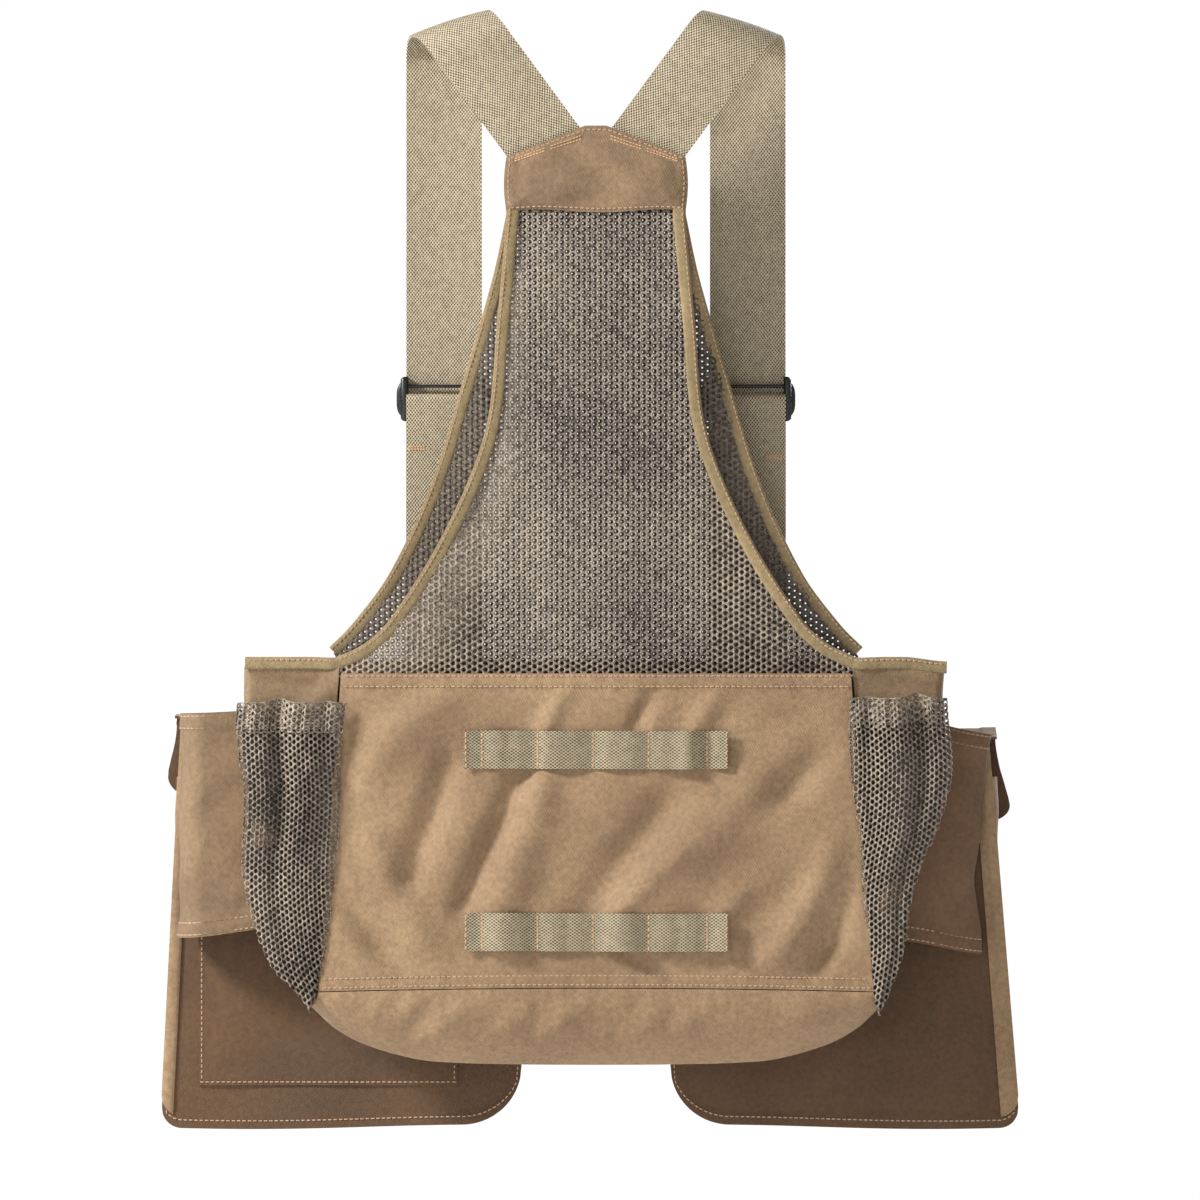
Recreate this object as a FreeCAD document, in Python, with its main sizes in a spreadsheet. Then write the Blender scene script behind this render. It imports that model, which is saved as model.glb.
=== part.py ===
import FreeCAD, Part
import math
import os
import Sketcher
from FreeCAD import Placement, Rotation, Vector

# Strap fishing vest, hanging from its shoulder straps. +Z up, +Y towards the wearer's front,
# the bag on the back towards -Y, +X to the right as seen from the back. Millimetres.
# The origin is where a hanger's bar meets the shoulder folds, so everything hangs below it.

doc = FreeCAD.newDocument("strap_vest")

# Driving dimensions. Heights are above the lowest hem, half-widths are from the centre line.
# A name ending in _y is the wearer's side of a layer, which is as thick as its cloth and no more.
SIZES = {
    # materials
    "cloth": 1.2, "mesh": 1.2, "binding_thick": 3.0, "binding_wide": 8.0,
    "webbing": 1.8, "strap_wide": 50.8, "loop_wide": 25.4, "loop_thick": 1.5,
    # the hanging line and the shoulder fold
    "hang_height": 740.0, "strap_lean": 36.4, "strap_plane_y": -27.3, "front_leg_y": 12.7,
    "strap_x": 102.0, "strap_root_x": 35.0, "strap_root_height": 661.0, "strap_foot_height": 270.0,
    # yoke
    "yoke_y": -30.2, "lining_y": -23.4, "yoke_half": 60.0, "yoke_bottom": 615.0,
    "yoke_side": 651.0, "yoke_peak_half": 7.0, "yoke_peak": 672.0,
    # back: mesh panels
    "outer_bottom_y": -44.5, "outer_top_y": -28.4, "inner_y": -24.8,
    "outer_bottom": 300.0, "mesh_top": 622.0, "inner_bottom": 317.0,
    # bag
    "bag_y": -46.0, "bag_top": 306.0, "bag_top_half": 170.0, "bag_seam": 95.0,
    "bag_seam_half": 185.0, "bag_floor": 44.0, "bag_depth": 19.6, "tray_corner_half": 189.0,
    "tray_corner": 82.0, "tray_bend_half": 155.0, "tray_bend": 58.0, "tray_flat_half": 95.0,
    "tray_flat": 45.5, "panel_foot": 50.0, "panel_half": 184.0,
    "gusset_y": -27.0, "gusset_depth": 18.0, "gusset_top": 307.0, "gusset_half": 234.0,
    "gusset_low_half": 228.0, "gusset_low": 130.0, "gusset_foot": 90.0, "gusset_foot_half": 200.0,
    "wing_binding_low": 308.0, "wing_binding_high": 318.0, "wing_binding_start": 178.0,
    "wing_binding_y": -43.5,
    # loop webbing
    "loop_y": -47.5, "loop_half": 88.0, "loop_upper": 242.5, "loop_lower": 121.0,
    # mesh side pockets
    "pocket_y": -45.4, "pocket_depth": 18.0, "pocket_top": 285.0, "pocket_out": 239.0,
    "pocket_waist": 150.0, "pocket_waist_half": 231.0, "pocket_low": 107.0,
    "pocket_low_half": 214.0, "pocket_tip": 86.0, "pocket_tip_half": 194.0,
    "pocket_in_top": 172.5, "pocket_in_foot": 188.0,
    "elastic_y": -63.8, "elastic_thick": 1.6, "elastic_low": 271.0, "elastic_high": 286.0,
    # side panels round the hips
    "side_back_y": -21.8, "side_front_y": 10.9, "side_start": 192.0, "side_end": 236.0,
    "side_low": 131.0, "side_high": 280.0, "fold_left": 281.0, "fold_right": 268.0,
    # front panels and their pockets
    "front_y": 15.4, "front_top": 280.0, "front_top_left": 278.0, "front_top_right": 262.0,
    "front_in": 50.0, "front_foot": 1.0, "front_out_left": 290.0, "front_out_right": 283.0,
    "front_round_out": 14.0, "front_round_in": 40.0,
    "patch_y": 13.8, "patch_out": 267.0, "patch_in": 93.0, "patch_low": 29.0, "patch_high": 190.0,
    "bellows_back_y": 15.7, "bellows_depth": 30.0, "bellows_out_left": 274.0,
    "bellows_out_right": 264.0, "bellows_in": 82.0, "bellows_low": 14.0, "bellows_high": 236.0,
    "face_y": 47.3, "flap_back_y": 15.9, "flap_front_y": 52.6, "flap_out_left": 286.0,
    "flap_out_right": 275.0, "flap_in": 78.0,
    "flap_hinge": 279.0, "flap_low": 222.0, "snap_height": 234.0, "snap_x": 180.0,
    # strap adjusters
    "adjuster_mid": 490.0, "adjuster_tall": 32.0, "adjuster_wide": 64.0, "adjuster_bar": 5.5,
    "adjuster_thick": 3.0, "adjuster_frame_y": 14.3, "bar_y": 7.2, "bar_radius": 1.5,
    "keeper_y": 9.4, "keeper_radius": 1.1, "keeper_rise": 8.6,
    "tail_low": 250.0, "tail_tack": 455.0,
    # waist belt and side-release buckle
    "belt_wide": 38.1, "belt_mid": 214.0, "belt_y": 21.4, "belt_end": 20.0, "belt_bend": 63.0,
    "belt_sewn": 72.0, "belt_root": 80.0, "belt_root_y": 15.9,
    "buckle_tall": 54.0, "buckle_thick": 11.0, "buckle_wall": 2.4, "socket_long": 36.0,
    "plug_long": 26.0, "prong_long": 22.0,
}
sheet = doc.addObject("Spreadsheet::Sheet", "Sizes")
for row, (alias, size) in enumerate(SIZES.items(), start=1):
    sheet.set(f"A{row}", alias)
    sheet.set(f"B{row}", str(size))
    sheet.setAlias(f"B{row}", alias)
doc.recompute()

SIDES = {"left": -1, "right": 1}
parts = []


def number(term):
    """The value of a term: a plain number, a size's name, or a size's name with a minus."""
    if not isinstance(term, str):
        return term
    return -SIZES[term[1:]] if term.startswith("-") else SIZES[term]


def formula(term):
    """The same term as an expression that reads the sheet."""
    return f"-Sizes.{term[1:]}" if term.startswith("-") else f"Sizes.{term}"


def on_side(side, term):
    """A half-width carried to the left or the right of the centre line."""
    if not isinstance(term, str):
        return side * term
    return term if side > 0 else "-" + term


def finish_part(thing, label):
    thing.Label = label
    parts.append(thing)
    return thing


def new_body(label, side_y, height=0.0):
    """A body whose own XZ plane lies on one layer of the vest."""
    body = doc.addObject("PartDesign::Body", label)
    body.setExpression("Placement.Base.y", formula(side_y))
    body.setExpression("Placement.Base.z", f"{height} - Sizes.hang_height")
    return finish_part(body, label)


def new_sketch(body, plane="XZ_Plane"):
    sketch = body.newObject("Sketcher::SketchObject", body.Name + "_sketch")
    origin_plane = [f for f in body.Origin.OriginFeatures if f.Role == plane][0]
    sketch.AttachmentSupport = [(origin_plane, "")]
    sketch.MapMode = "FlatFace"
    return sketch


def outline(sketch, corners):
    """A closed outline of straight edges, each corner held at its distances from the centre."""
    points = [Vector(number(across), number(up), 0) for across, up in corners]
    first = sketch.GeometryCount
    count = len(points)
    for i in range(count):
        sketch.addGeometry(Part.LineSegment(points[i], points[(i + 1) % count]))
    for i in range(count):
        sketch.addConstraint(Sketcher.Constraint("Coincident", first + i, 2, first + (i + 1) % count, 1))
    for i, corner in enumerate(corners):
        for kind, term in zip(("DistanceX", "DistanceY"), corner):
            index = sketch.addConstraint(Sketcher.Constraint(kind, -1, 1, first + i, 1, number(term)))
            if isinstance(term, str):
                sketch.setExpression(f"Constraints[{index}]", formula(term))


def pad(body, sketch, length):
    """Thickens a layer from its wearer's side outwards, towards -Y."""
    feature = body.newObject("PartDesign::Pad", body.Name + "_pad")
    feature.Profile = sketch
    feature.setExpression("Length", formula(length))
    return feature


def round_corners(body, base, radius, where):
    """Rounds the corners that run through the cloth at the given places (across, up)."""
    doc.recompute()
    names = []
    for i, edge in enumerate(base.Shape.Edges, start=1):
        through = edge.BoundBox.XLength < 0.01 and edge.BoundBox.ZLength < 0.01
        middle = edge.CenterOfMass
        if through and any(abs(middle.x - x) < 1 and abs(middle.z - z) < 1 for x, z in where):
            names.append(f"Edge{i}")
    fillet = body.newObject("PartDesign::Fillet", body.Name + "_round")
    fillet.Base = (base, names)
    fillet.setExpression("Radius", formula(radius))
    return fillet


def layer(label, corners, side_y, thickness, lean=0.0, height=0.0):
    """A flat layer of cloth, mesh or webbing with a straight-edged outline."""
    body = new_body(label, side_y, height)
    sketch = new_sketch(body)
    outline(sketch, corners)
    feature = pad(body, sketch, thickness)
    if lean:
        body.Placement = Placement(body.Placement.Base, Rotation(Vector(1, 0, 0), lean))
    return body, feature


def hollow(body, base, wall, open_sides):
    """Shells a block to a cloth wall, open on the faces that look the given ways."""
    doc.recompute()
    names = []
    for i, face in enumerate(base.Shape.Faces, start=1):
        u0, u1, v0, v1 = face.ParameterRange
        normal = face.normalAt((u0 + u1) / 2, (v0 + v1) / 2)
        if any(normal.dot(Vector(*way)) > 0.95 for way in open_sides):
            names.append(f"Face{i}")
    shell = body.newObject("PartDesign::Thickness", body.Name + "_shell")
    shell.Base = (base, names)
    shell.setExpression("Value", formula(wall))
    shell.Reversed = True
    shell.Join = 1
    return shell


# ---- yoke: two matching patches, the strap ends and both meshes sewn between them ----
half_yoke = [("yoke_half", "yoke_bottom"), ("yoke_half", "yoke_side"), ("yoke_peak_half", "yoke_peak")]
yoke_corners = half_yoke + [("-" + across, up) for across, up in reversed(half_yoke)]
layer("yoke_outer", yoke_corners, "yoke_y", "cloth")
layer("yoke_lining", yoke_corners, "lining_y", "cloth")


# ---- mesh panels and their bindings: edges flare from the yoke to the waist ----
OUTER_EDGE = [(612, 55.5), (541, 62), (467, 70), (400, 97), (340, 134), (312, 174)]
INNER_EDGE = [(612, 56), (570, 65), (501, 85), (430, 107), (370, 135), (320, 176)]


def flared_curve(edge, side, inwards, foot):
    """A smooth curve down one edge of a mesh panel, moved inwards from the seam line."""
    points = []
    for i, (up, across) in enumerate(edge):
        above, below = edge[max(i - 1, 0)], edge[min(i + 1, len(edge) - 1)]
        fall = Vector(below[1] - above[1], below[0] - above[0], 0).normalize()
        points.append(Vector(side * (across + inwards * fall.y), up - inwards * fall.x - foot, 0))
    curve = Part.BSplineCurve()
    curve.interpolate(points)
    return curve, points


def mesh_panel(label, edge, bottom, side_y, lean):
    """A bell-shaped panel that stops at the inner edge of its bindings."""
    body = new_body(label, side_y, SIZES[bottom])
    sketch = new_sketch(body)
    foot, top = SIZES[bottom], SIZES["mesh_top"] - SIZES[bottom]
    half = SIZES["binding_wide"] / 2 + 0.3
    right, right_points = flared_curve(edge, 1, half, foot)
    left, left_points = flared_curve(edge, -1, half, foot)
    low = min(right_points[-1].y, 0)
    ends = [(right_points[-1], Vector(right_points[-1].x, low - 2, 0)),
            (Vector(right_points[-1].x, low - 2, 0), Vector(left_points[-1].x, low - 2, 0)),
            (Vector(left_points[-1].x, low - 2, 0), left_points[-1]),
            (left_points[0], Vector(left_points[0].x, top, 0)),
            (Vector(left_points[0].x, top, 0), Vector(right_points[0].x, top, 0)),
            (Vector(right_points[0].x, top, 0), right_points[0])]
    sketch.addGeometry([right, left] + [Part.LineSegment(a, b) for a, b in ends])
    pad(body, sketch, "mesh")
    body.Placement = Placement(Vector(0, SIZES[side_y], foot - SIZES["hang_height"]),
                               Rotation(Vector(1, 0, 0), lean))


def mesh_binding(label, edge, side, bottom, side_y, lean):
    """A folded cotton strip along one edge of a mesh panel, standing proud of it both ways."""
    body = new_body(label, side_y, SIZES[bottom])
    sketch = new_sketch(body)
    half = SIZES["binding_wide"] / 2
    foot = SIZES[bottom]
    within, within_points = flared_curve(edge, side, half, foot)
    without, without_points = flared_curve(edge, side, -half, foot)
    ends = [Part.LineSegment(within_points[i], without_points[i]) for i in (0, -1)]
    sketch.addGeometry([within, without] + ends)
    proud = (SIZES["binding_thick"] - SIZES["mesh"]) / 2
    sketch.AttachmentOffset = Placement(Vector(0, 0, -proud), Rotation())
    pad(body, sketch, "binding_thick")
    body.Placement = Placement(Vector(0, SIZES[side_y], foot - SIZES["hang_height"]),
                               Rotation(Vector(1, 0, 0), lean))


outer_rise = SIZES["mesh_top"] - SIZES["outer_bottom"]
outer_lean = -math.degrees(math.atan((SIZES["outer_top_y"] - SIZES["outer_bottom_y"]) / outer_rise))
mesh_panel("outer_mesh_panel", OUTER_EDGE, "outer_bottom", "outer_bottom_y", outer_lean)
mesh_panel("inner_mesh_panel", INNER_EDGE, "inner_bottom", "inner_y", 0)
for name, side in SIDES.items():
    mesh_binding(f"outer_binding_{name}", OUTER_EDGE, side, "outer_bottom", "outer_bottom_y", outer_lean)
    mesh_binding(f"inner_binding_{name}", INNER_EDGE, side, "inner_bottom", "inner_y", 0)


# ---- bag: back panel, bottom, inner panel and a folding gusset on each side ----
layer("bag_back_panel", [("-bag_top_half", "bag_top"), ("-bag_seam_half", "bag_seam"),
                         ("bag_seam_half", "bag_seam"), ("bag_top_half", "bag_top")], "bag_y", "cloth")
layer("bag_inner_panel", [
    ("-panel_half", "gusset_top"), ("-panel_half", "tray_corner"), ("-tray_bend_half", "tray_bend"),
    ("-tray_flat_half", "panel_foot"), ("tray_flat_half", "panel_foot"), ("tray_bend_half", "tray_bend"),
    ("panel_half", "tray_corner"), ("panel_half", "gusset_top")], "inner_y", "cloth")
half_tray = [("bag_seam_half", 94.5), ("tray_corner_half", "tray_corner"), ("tray_bend_half", "tray_bend"),
             ("tray_flat_half", "tray_flat"), (40.0, "bag_floor")]
mirrored_tray = [(-across if not isinstance(across, str) else "-" + across, up)
                 for across, up in reversed(half_tray)]
bottom, block = layer("bag_bottom_panel", half_tray + mirrored_tray, "gusset_y", "bag_depth")
hollow(bottom, block, "cloth", [(0, 0, 1), (0, 1, 0)])

for name, side in SIDES.items():
    gusset, block = layer(f"bag_gusset_{name}", [
        (on_side(side, "pocket_in_top"), "gusset_top"), (on_side(side, 188.0), "gusset_foot"),
        (on_side(side, "gusset_foot_half"), "gusset_foot"), (on_side(side, "gusset_low_half"), "gusset_low"),
        (on_side(side, "gusset_half"), "gusset_top")], "gusset_y", "gusset_depth")
    hollow(gusset, block, "cloth", [(0, 0, 1), (-side, 0, 0)])
    layer(f"wing_binding_{name}", [
        (on_side(side, "wing_binding_start"), "wing_binding_low"),
        (on_side(side, "gusset_half"), "wing_binding_low"),
        (on_side(side, "gusset_half"), "wing_binding_high"),
        (on_side(side, "wing_binding_start"), "wing_binding_high")], "wing_binding_y", "binding_thick")

# Loop webbing: two level rows tacked across the bag.
for name, low in (("upper", "loop_upper"), ("lower", "loop_lower")):
    high = SIZES[low] + SIZES["loop_wide"]
    layer(f"loop_webbing_{name}", [("-loop_half", low), ("loop_half", low), ("loop_half", high),
                                   ("-loop_half", high)], "loop_y", "loop_thick")

# Mesh side pockets: pouches open at the top, sewn over the gussets, drawn in by an elastic hem.
for name, side in SIDES.items():
    pouch, block = layer(f"mesh_pocket_{name}", [
        (on_side(side, "pocket_in_top"), "pocket_top"), (on_side(side, "pocket_in_foot"), "pocket_tip"),
        (on_side(side, "pocket_tip_half"), "pocket_tip"), (on_side(side, "pocket_low_half"), "pocket_low"),
        (on_side(side, "pocket_waist_half"), "pocket_waist"),
        (on_side(side, "pocket_out"), "pocket_top")], "pocket_y", "pocket_depth")
    hollow(pouch, block, "mesh", [(0, 0, 1), (0, 1, 0)])
    layer(f"pocket_elastic_{name}", [
        (on_side(side, "pocket_in_top"), "elastic_low"), (on_side(side, "pocket_out"), "elastic_low"),
        (on_side(side, "pocket_out"), "elastic_high"), (on_side(side, "pocket_in_top"), "elastic_high")],
        "elastic_y", "elastic_thick")

# ---- side panels: from the gusset round the hip to the front panel, one smooth fold each ----
for name, side in SIDES.items():
    body = doc.addObject("PartDesign::Body", f"side_panel_{name}")
    finish_part(body, f"side_panel_{name}")
    sketch = new_sketch(body, "XY_Plane")
    back, front = SIZES["side_back_y"], SIZES["side_front_y"]
    middle, bend = (back + front) / 2, (front - back) / 2
    centre = side * (SIZES[f"fold_{name}"] - bend - SIZES["cloth"])
    start, end = side * SIZES["side_start"], side * SIZES["side_end"]
    for radius in (bend, bend + SIZES["cloth"]):
        near, far = middle - radius, middle + radius
        sketch.addGeometry(Part.LineSegment(Vector(start, near, 0), Vector(centre, near, 0)))
        sketch.addGeometry(Part.Arc(Vector(centre, near, 0), Vector(centre + side * radius, middle, 0),
                                    Vector(centre, far, 0)))
        sketch.addGeometry(Part.LineSegment(Vector(centre, far, 0), Vector(end, far, 0)))
    outside = bend + SIZES["cloth"]
    sketch.addGeometry(Part.LineSegment(Vector(start, middle - bend, 0), Vector(start, middle - outside, 0)))
    sketch.addGeometry(Part.LineSegment(Vector(end, middle + bend, 0), Vector(end, middle + outside, 0)))
    wrap = body.newObject("PartDesign::Pad", body.Name + "_pad")
    wrap.Profile = sketch
    wrap.setExpression("Length", "Sizes.side_high - Sizes.side_low")
    body.setExpression("Placement.Base.z", "Sizes.side_low - Sizes.hang_height")

# ---- front panels, with bellows pockets outside them and a flat patch pocket inside the left one ----
for name, side in SIDES.items():
    out, bellows_out = f"front_out_{name}", f"bellows_out_{name}"
    panel, flat = layer(f"front_panel_{name}", [
        (on_side(side, "front_in"), "front_top"), (on_side(side, "front_in"), "front_foot"),
        (on_side(side, out), "front_foot"), (on_side(side, f"front_top_{name}"), "front_top")],
        "front_y", "cloth")
    foot = SIZES["front_foot"]
    inner_round = round_corners(panel, flat, "front_round_in", [(side * SIZES["front_in"], foot)])
    round_corners(panel, inner_round, "front_round_out", [(side * SIZES[out], foot)])

    bellows, block = layer(f"front_pocket_gusset_{name}", [
        (on_side(side, "bellows_in"), "bellows_high"), (on_side(side, "bellows_in"), "bellows_low"),
        (on_side(side, bellows_out), "bellows_low"), (on_side(side, bellows_out), "bellows_high")],
        "bellows_back_y", "bellows_depth")
    bellows.setExpression("Placement.Base.y", "Sizes.bellows_back_y + Sizes.bellows_depth")
    hollow(bellows, block, "cloth", [(0, 0, 1), (0, 1, 0), (0, -1, 0)])

    face, flat = layer(f"front_pocket_face_{name}", [
        (on_side(side, "bellows_in"), "bellows_high"), (on_side(side, "bellows_in"), "bellows_low"),
        (on_side(side, bellows_out), "bellows_low"), (on_side(side, bellows_out), "bellows_high")],
        "face_y", "cloth")

layer("inner_patch_pocket", [("-patch_in", "patch_low"), ("-patch_in", "patch_high"),
                             ("-patch_out", "patch_high"), ("-patch_out", "patch_low")], "patch_y", "cloth")

# Flaps: hinged at the seam on the front panel, out over the bellows and down its face.
for name, side in SIDES.items():
    body = doc.addObject("PartDesign::Body", f"pocket_flap_{name}")
    finish_part(body, f"pocket_flap_{name}")
    sketch = new_sketch(body, "YZ_Plane")
    outline(sketch, [("flap_back_y", "flap_hinge"), ("flap_front_y", "flap_hinge"),
                     ("flap_front_y", "flap_low"), (SIZES["flap_front_y"] - 1.2, "flap_low"),
                     (SIZES["flap_front_y"] - 1.2, SIZES["flap_hinge"] - 1.2),
                     ("flap_back_y", SIZES["flap_hinge"] - 1.2)])
    drop = body.newObject("PartDesign::Pad", body.Name + "_pad")
    drop.Profile = sketch
    drop.setExpression("Length", f"Sizes.flap_out_{name} - Sizes.flap_in")
    start = "Sizes.flap_in" if side > 0 else "-Sizes.flap_out_left"
    body.setExpression("Placement.Base.x", start)
    body.setExpression("Placement.Base.z", "-Sizes.hang_height")


def snap_piece(label, side, steps):
    """A round pressed snap part: steps of (radius, from y, to y) on a line through the pocket."""
    discs = []
    for radius, near_y, far_y in steps:
        disc = doc.addObject("Part::Cylinder", label + "_disc")
        disc.Radius = radius
        disc.Height = far_y - near_y
        disc.Placement = Placement(Vector(side * SIZES["snap_x"], near_y,
                                          SIZES["snap_height"] - SIZES["hang_height"]),
                                   Rotation(Vector(1, 0, 0), -90))
        discs.append(disc)
    if len(discs) == 1:
        return finish_part(discs[0], label)
    turned = doc.addObject("Part::MultiFuse", label)
    turned.Shapes = discs
    return finish_part(turned, label)


for name, side in SIDES.items():
    flap_y, face_y = SIZES["flap_front_y"], SIZES["face_y"]
    snap_piece(f"snap_cap_{name}", side,
               [(7.5, flap_y + 0.1, flap_y + 1.9), (5.5, flap_y + 1.9, flap_y + 2.5)])
    snap_piece(f"snap_socket_{name}", side, [(6.0, flap_y - 2.6, flap_y - 1.3)])
    snap_piece(f"snap_stud_{name}", side,
               [(6.0, face_y + 0.1, face_y + 0.9), (2.0, face_y + 0.9, face_y + 2.3)])


# ---- shoulder straps: one flat band each, folded over the shoulder line ----
def shoulder_strap(label, side):
    """Sections of the band at steps along it, each parallel to the fold, joined by a ruled loft."""
    half_lean = math.radians(SIZES["strap_lean"] / 2)
    along_fold = Vector(-side * math.cos(half_lean), 0, math.sin(half_lean))
    up_band = Vector(side * math.sin(half_lean), 0, math.cos(half_lean))
    towards_front = Vector(0, 1, 0)
    back_y, front_y = SIZES["strap_plane_y"], SIZES["front_leg_y"]
    bend = (front_y - back_y) / 2
    drift = math.tan(half_lean)
    lean = math.radians(SIZES["strap_lean"])
    arch_x = SIZES["strap_x"] - math.pi * bend * drift * math.cos(half_lean)
    arch_z = SIZES["strap_root_height"] + (arch_x - SIZES["strap_root_x"]) / math.tan(lean)
    arch_start = Vector(side * arch_x, (back_y + front_y) / 2, arch_z)
    half_width = SIZES["strap_wide"] / 2 / math.cos(half_lean)
    root = -(arch_x - SIZES["strap_root_x"]) / math.sin(lean) * math.cos(half_lean)
    arch = math.pi * bend
    front_start_z = arch_z - arch * drift * math.sin(half_lean)
    foot = arch + (front_start_z - SIZES["strap_foot_height"]) * math.cos(half_lean)
    steps = [root] + [arch * i / 10 for i in range(11)] + [foot]
    sections = []
    for step in steps:
        if step <= 0:
            rise, out, normal = step, -bend, Vector(0, -1, 0)
        elif step >= arch:
            rise, out, normal = arch - step, bend, Vector(0, 1, 0)
        else:
            turn = step / bend
            rise, out = bend * math.sin(turn), -bend * math.cos(turn)
            normal = up_band * math.sin(turn) - towards_front * math.cos(turn)
        middle = arch_start + up_band * rise + towards_front * out - along_fold * (drift * step)
        skin = SIZES["webbing"] / 2
        ring = [middle + along_fold * (half_width * a) + normal * (skin * b)
                for a, b in ((-1, -1), (1, -1), (1, 1), (-1, 1))]
        sections.append(Part.makePolygon(ring + ring[:1]))
    band = doc.addObject("Part::Feature", label)
    band.Shape = Part.makeLoft(sections, True, True)
    band.Placement = Placement(Vector(0, 0, -SIZES["hang_height"]), Rotation())
    finish_part(band, label)


for name, side in SIDES.items():
    shoulder_strap(f"shoulder_strap_{name}", side)


# ---- strap adjusters: a frame behind the strap, its middle bar in front holding a looped end ----
def sized_box(label, x, y, z, long_x, deep_y, tall_z):
    """A box centred on x and z, starting at y; a size may be a sheet formula."""
    box = doc.addObject("Part::Box", label)
    for prop, size in (("Length", long_x), ("Width", deep_y), ("Height", tall_z)):
        if isinstance(size, str):
            box.setExpression(prop, size)
        else:
            setattr(box, prop, size)
    doc.recompute()
    corner = Vector(x - box.Length.Value / 2, y, z - box.Height.Value / 2 - SIZES["hang_height"])
    box.Placement = Placement(corner, Rotation())
    return box


def strap_adjuster(label, side):
    x, z = side * SIZES["strap_x"], SIZES["adjuster_mid"]
    window = SIZES["adjuster_wide"] - 10.4
    frame_y = SIZES["adjuster_frame_y"]
    plate = sized_box(label + "_plate", x, frame_y, z, "Sizes.adjuster_wide", "Sizes.adjuster_thick",
                      "Sizes.adjuster_tall")
    opening = sized_box(label + "_window", x, frame_y - 1, z, window, "Sizes.adjuster_thick + 2",
                        "Sizes.adjuster_tall - 2 * Sizes.adjuster_bar")
    frame = doc.addObject("Part::Cut", label + "_frame")
    frame.Base, frame.Tool = plate, opening
    rails = [sized_box(label + "_rail", x + way * (window / 2 + 2.6), SIZES["bar_y"] - 2.2, z, 5.2,
                       frame_y - SIZES["bar_y"] + 2.7, "Sizes.adjuster_tall - 6") for way in (-1, 1)]
    bars = []
    for kind, rise in (("bar", 0), ("keeper", SIZES["keeper_rise"])):
        bar = doc.addObject("Part::Cylinder", f"{label}_{kind}")
        bar.setExpression("Radius", f"Sizes.{kind}_radius")
        bar.setExpression("Height", "Sizes.adjuster_wide - 6")
        bar.Placement = Placement(Vector(x - SIZES["adjuster_wide"] / 2 + 3, SIZES[f"{kind}_y"],
                                         z + rise - SIZES["hang_height"]), Rotation(Vector(0, 1, 0), 90))
        bars.append(bar)
    whole = doc.addObject("Part::MultiFuse", label + "_joined")
    whole.Shapes = [frame] + bars + rails
    doc.recompute()
    half_wide, half_tall = SIZES["adjuster_wide"] / 2, SIZES["adjuster_tall"] / 2
    corners = []
    for i, edge in enumerate(whole.Shape.Edges, start=1):
        through = edge.BoundBox.XLength < 0.01 and edge.BoundBox.ZLength < 0.01
        at_x = abs(abs(edge.CenterOfMass.x - x) - half_wide) < 0.01
        at_z = abs(abs(edge.CenterOfMass.z + SIZES["hang_height"] - z) - half_tall) < 0.01
        if through and at_x and at_z:
            corners.append(i)
    rounded = doc.addObject("Part::Fillet", label)
    rounded.Base = whole
    rounded.Edges = [(i, 2.8, 2.8) for i in corners]
    finish_part(rounded, label)


def adjuster_webbing(label, side):
    """The strap end: down from the bar in front, its short end folded over and tacked behind."""
    body = doc.addObject("PartDesign::Body", label)
    finish_part(body, label)
    sketch = new_sketch(body, "YZ_Plane")
    y, z = SIZES["bar_y"], SIZES["adjuster_mid"]
    inside = SIZES["bar_radius"] + 0.2
    outside = inside + SIZES["webbing"]
    low, tack = SIZES["tail_low"], SIZES["tail_tack"]
    for radius in (inside, outside):
        near, far = Vector(y - radius, z, 0), Vector(y + radius, z, 0)
        sketch.addGeometry(Part.Arc(near, Vector(y, z + radius, 0), far))
        sketch.addGeometry(Part.LineSegment(near, Vector(y - radius, low, 0)))
        sketch.addGeometry(Part.LineSegment(far, Vector(y + radius, tack, 0)))
    for way, end in ((-1, low), (1, tack)):
        sketch.addGeometry(Part.LineSegment(Vector(y + way * inside, end, 0),
                                            Vector(y + way * outside, end, 0)))
    band = body.newObject("PartDesign::Pad", body.Name + "_pad")
    band.Profile = sketch
    band.setExpression("Length", "Sizes.strap_wide")
    band.Midplane = True
    body.setExpression("Placement.Base.x", f"{side} * Sizes.strap_x")
    body.setExpression("Placement.Base.z", "-Sizes.hang_height")


for name, side in SIDES.items():
    strap_adjuster(f"strap_adjuster_{name}", side)
    adjuster_webbing(f"adjuster_webbing_{name}", side)


# ---- waist belt: a webbing end each side, joined in the middle by a side-release buckle ----
belt_y, belt_z = SIZES["belt_y"], SIZES["belt_mid"]
buckle_back = belt_y + SIZES["webbing"] / 2 - SIZES["buckle_thick"] / 2
wall = SIZES["buckle_wall"]
for name, side in SIDES.items():
    body = doc.addObject("PartDesign::Body", f"waist_belt_{name}")
    finish_part(body, f"waist_belt_{name}")
    sketch = new_sketch(body, "XY_Plane")
    skin = SIZES["webbing"]
    outline(sketch, [(on_side(side, "belt_end"), "belt_y"), (on_side(side, "belt_bend"), "belt_y"),
                     (on_side(side, "belt_sewn"), "belt_root_y"), (on_side(side, "belt_root"), "belt_root_y"),
                     (on_side(side, "belt_root"), SIZES["belt_root_y"] + skin),
                     (on_side(side, SIZES["belt_sewn"] + 0.5), SIZES["belt_root_y"] + skin),
                     (on_side(side, SIZES["belt_bend"] + 0.5), belt_y + skin),
                     (on_side(side, "belt_end"), belt_y + skin)])
    strip = body.newObject("PartDesign::Pad", body.Name + "_pad")
    strip.Profile = sketch
    strip.setExpression("Length", "Sizes.belt_wide")
    body.setExpression("Placement.Base.z", "Sizes.belt_mid - Sizes.belt_wide / 2 - Sizes.hang_height")


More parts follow.
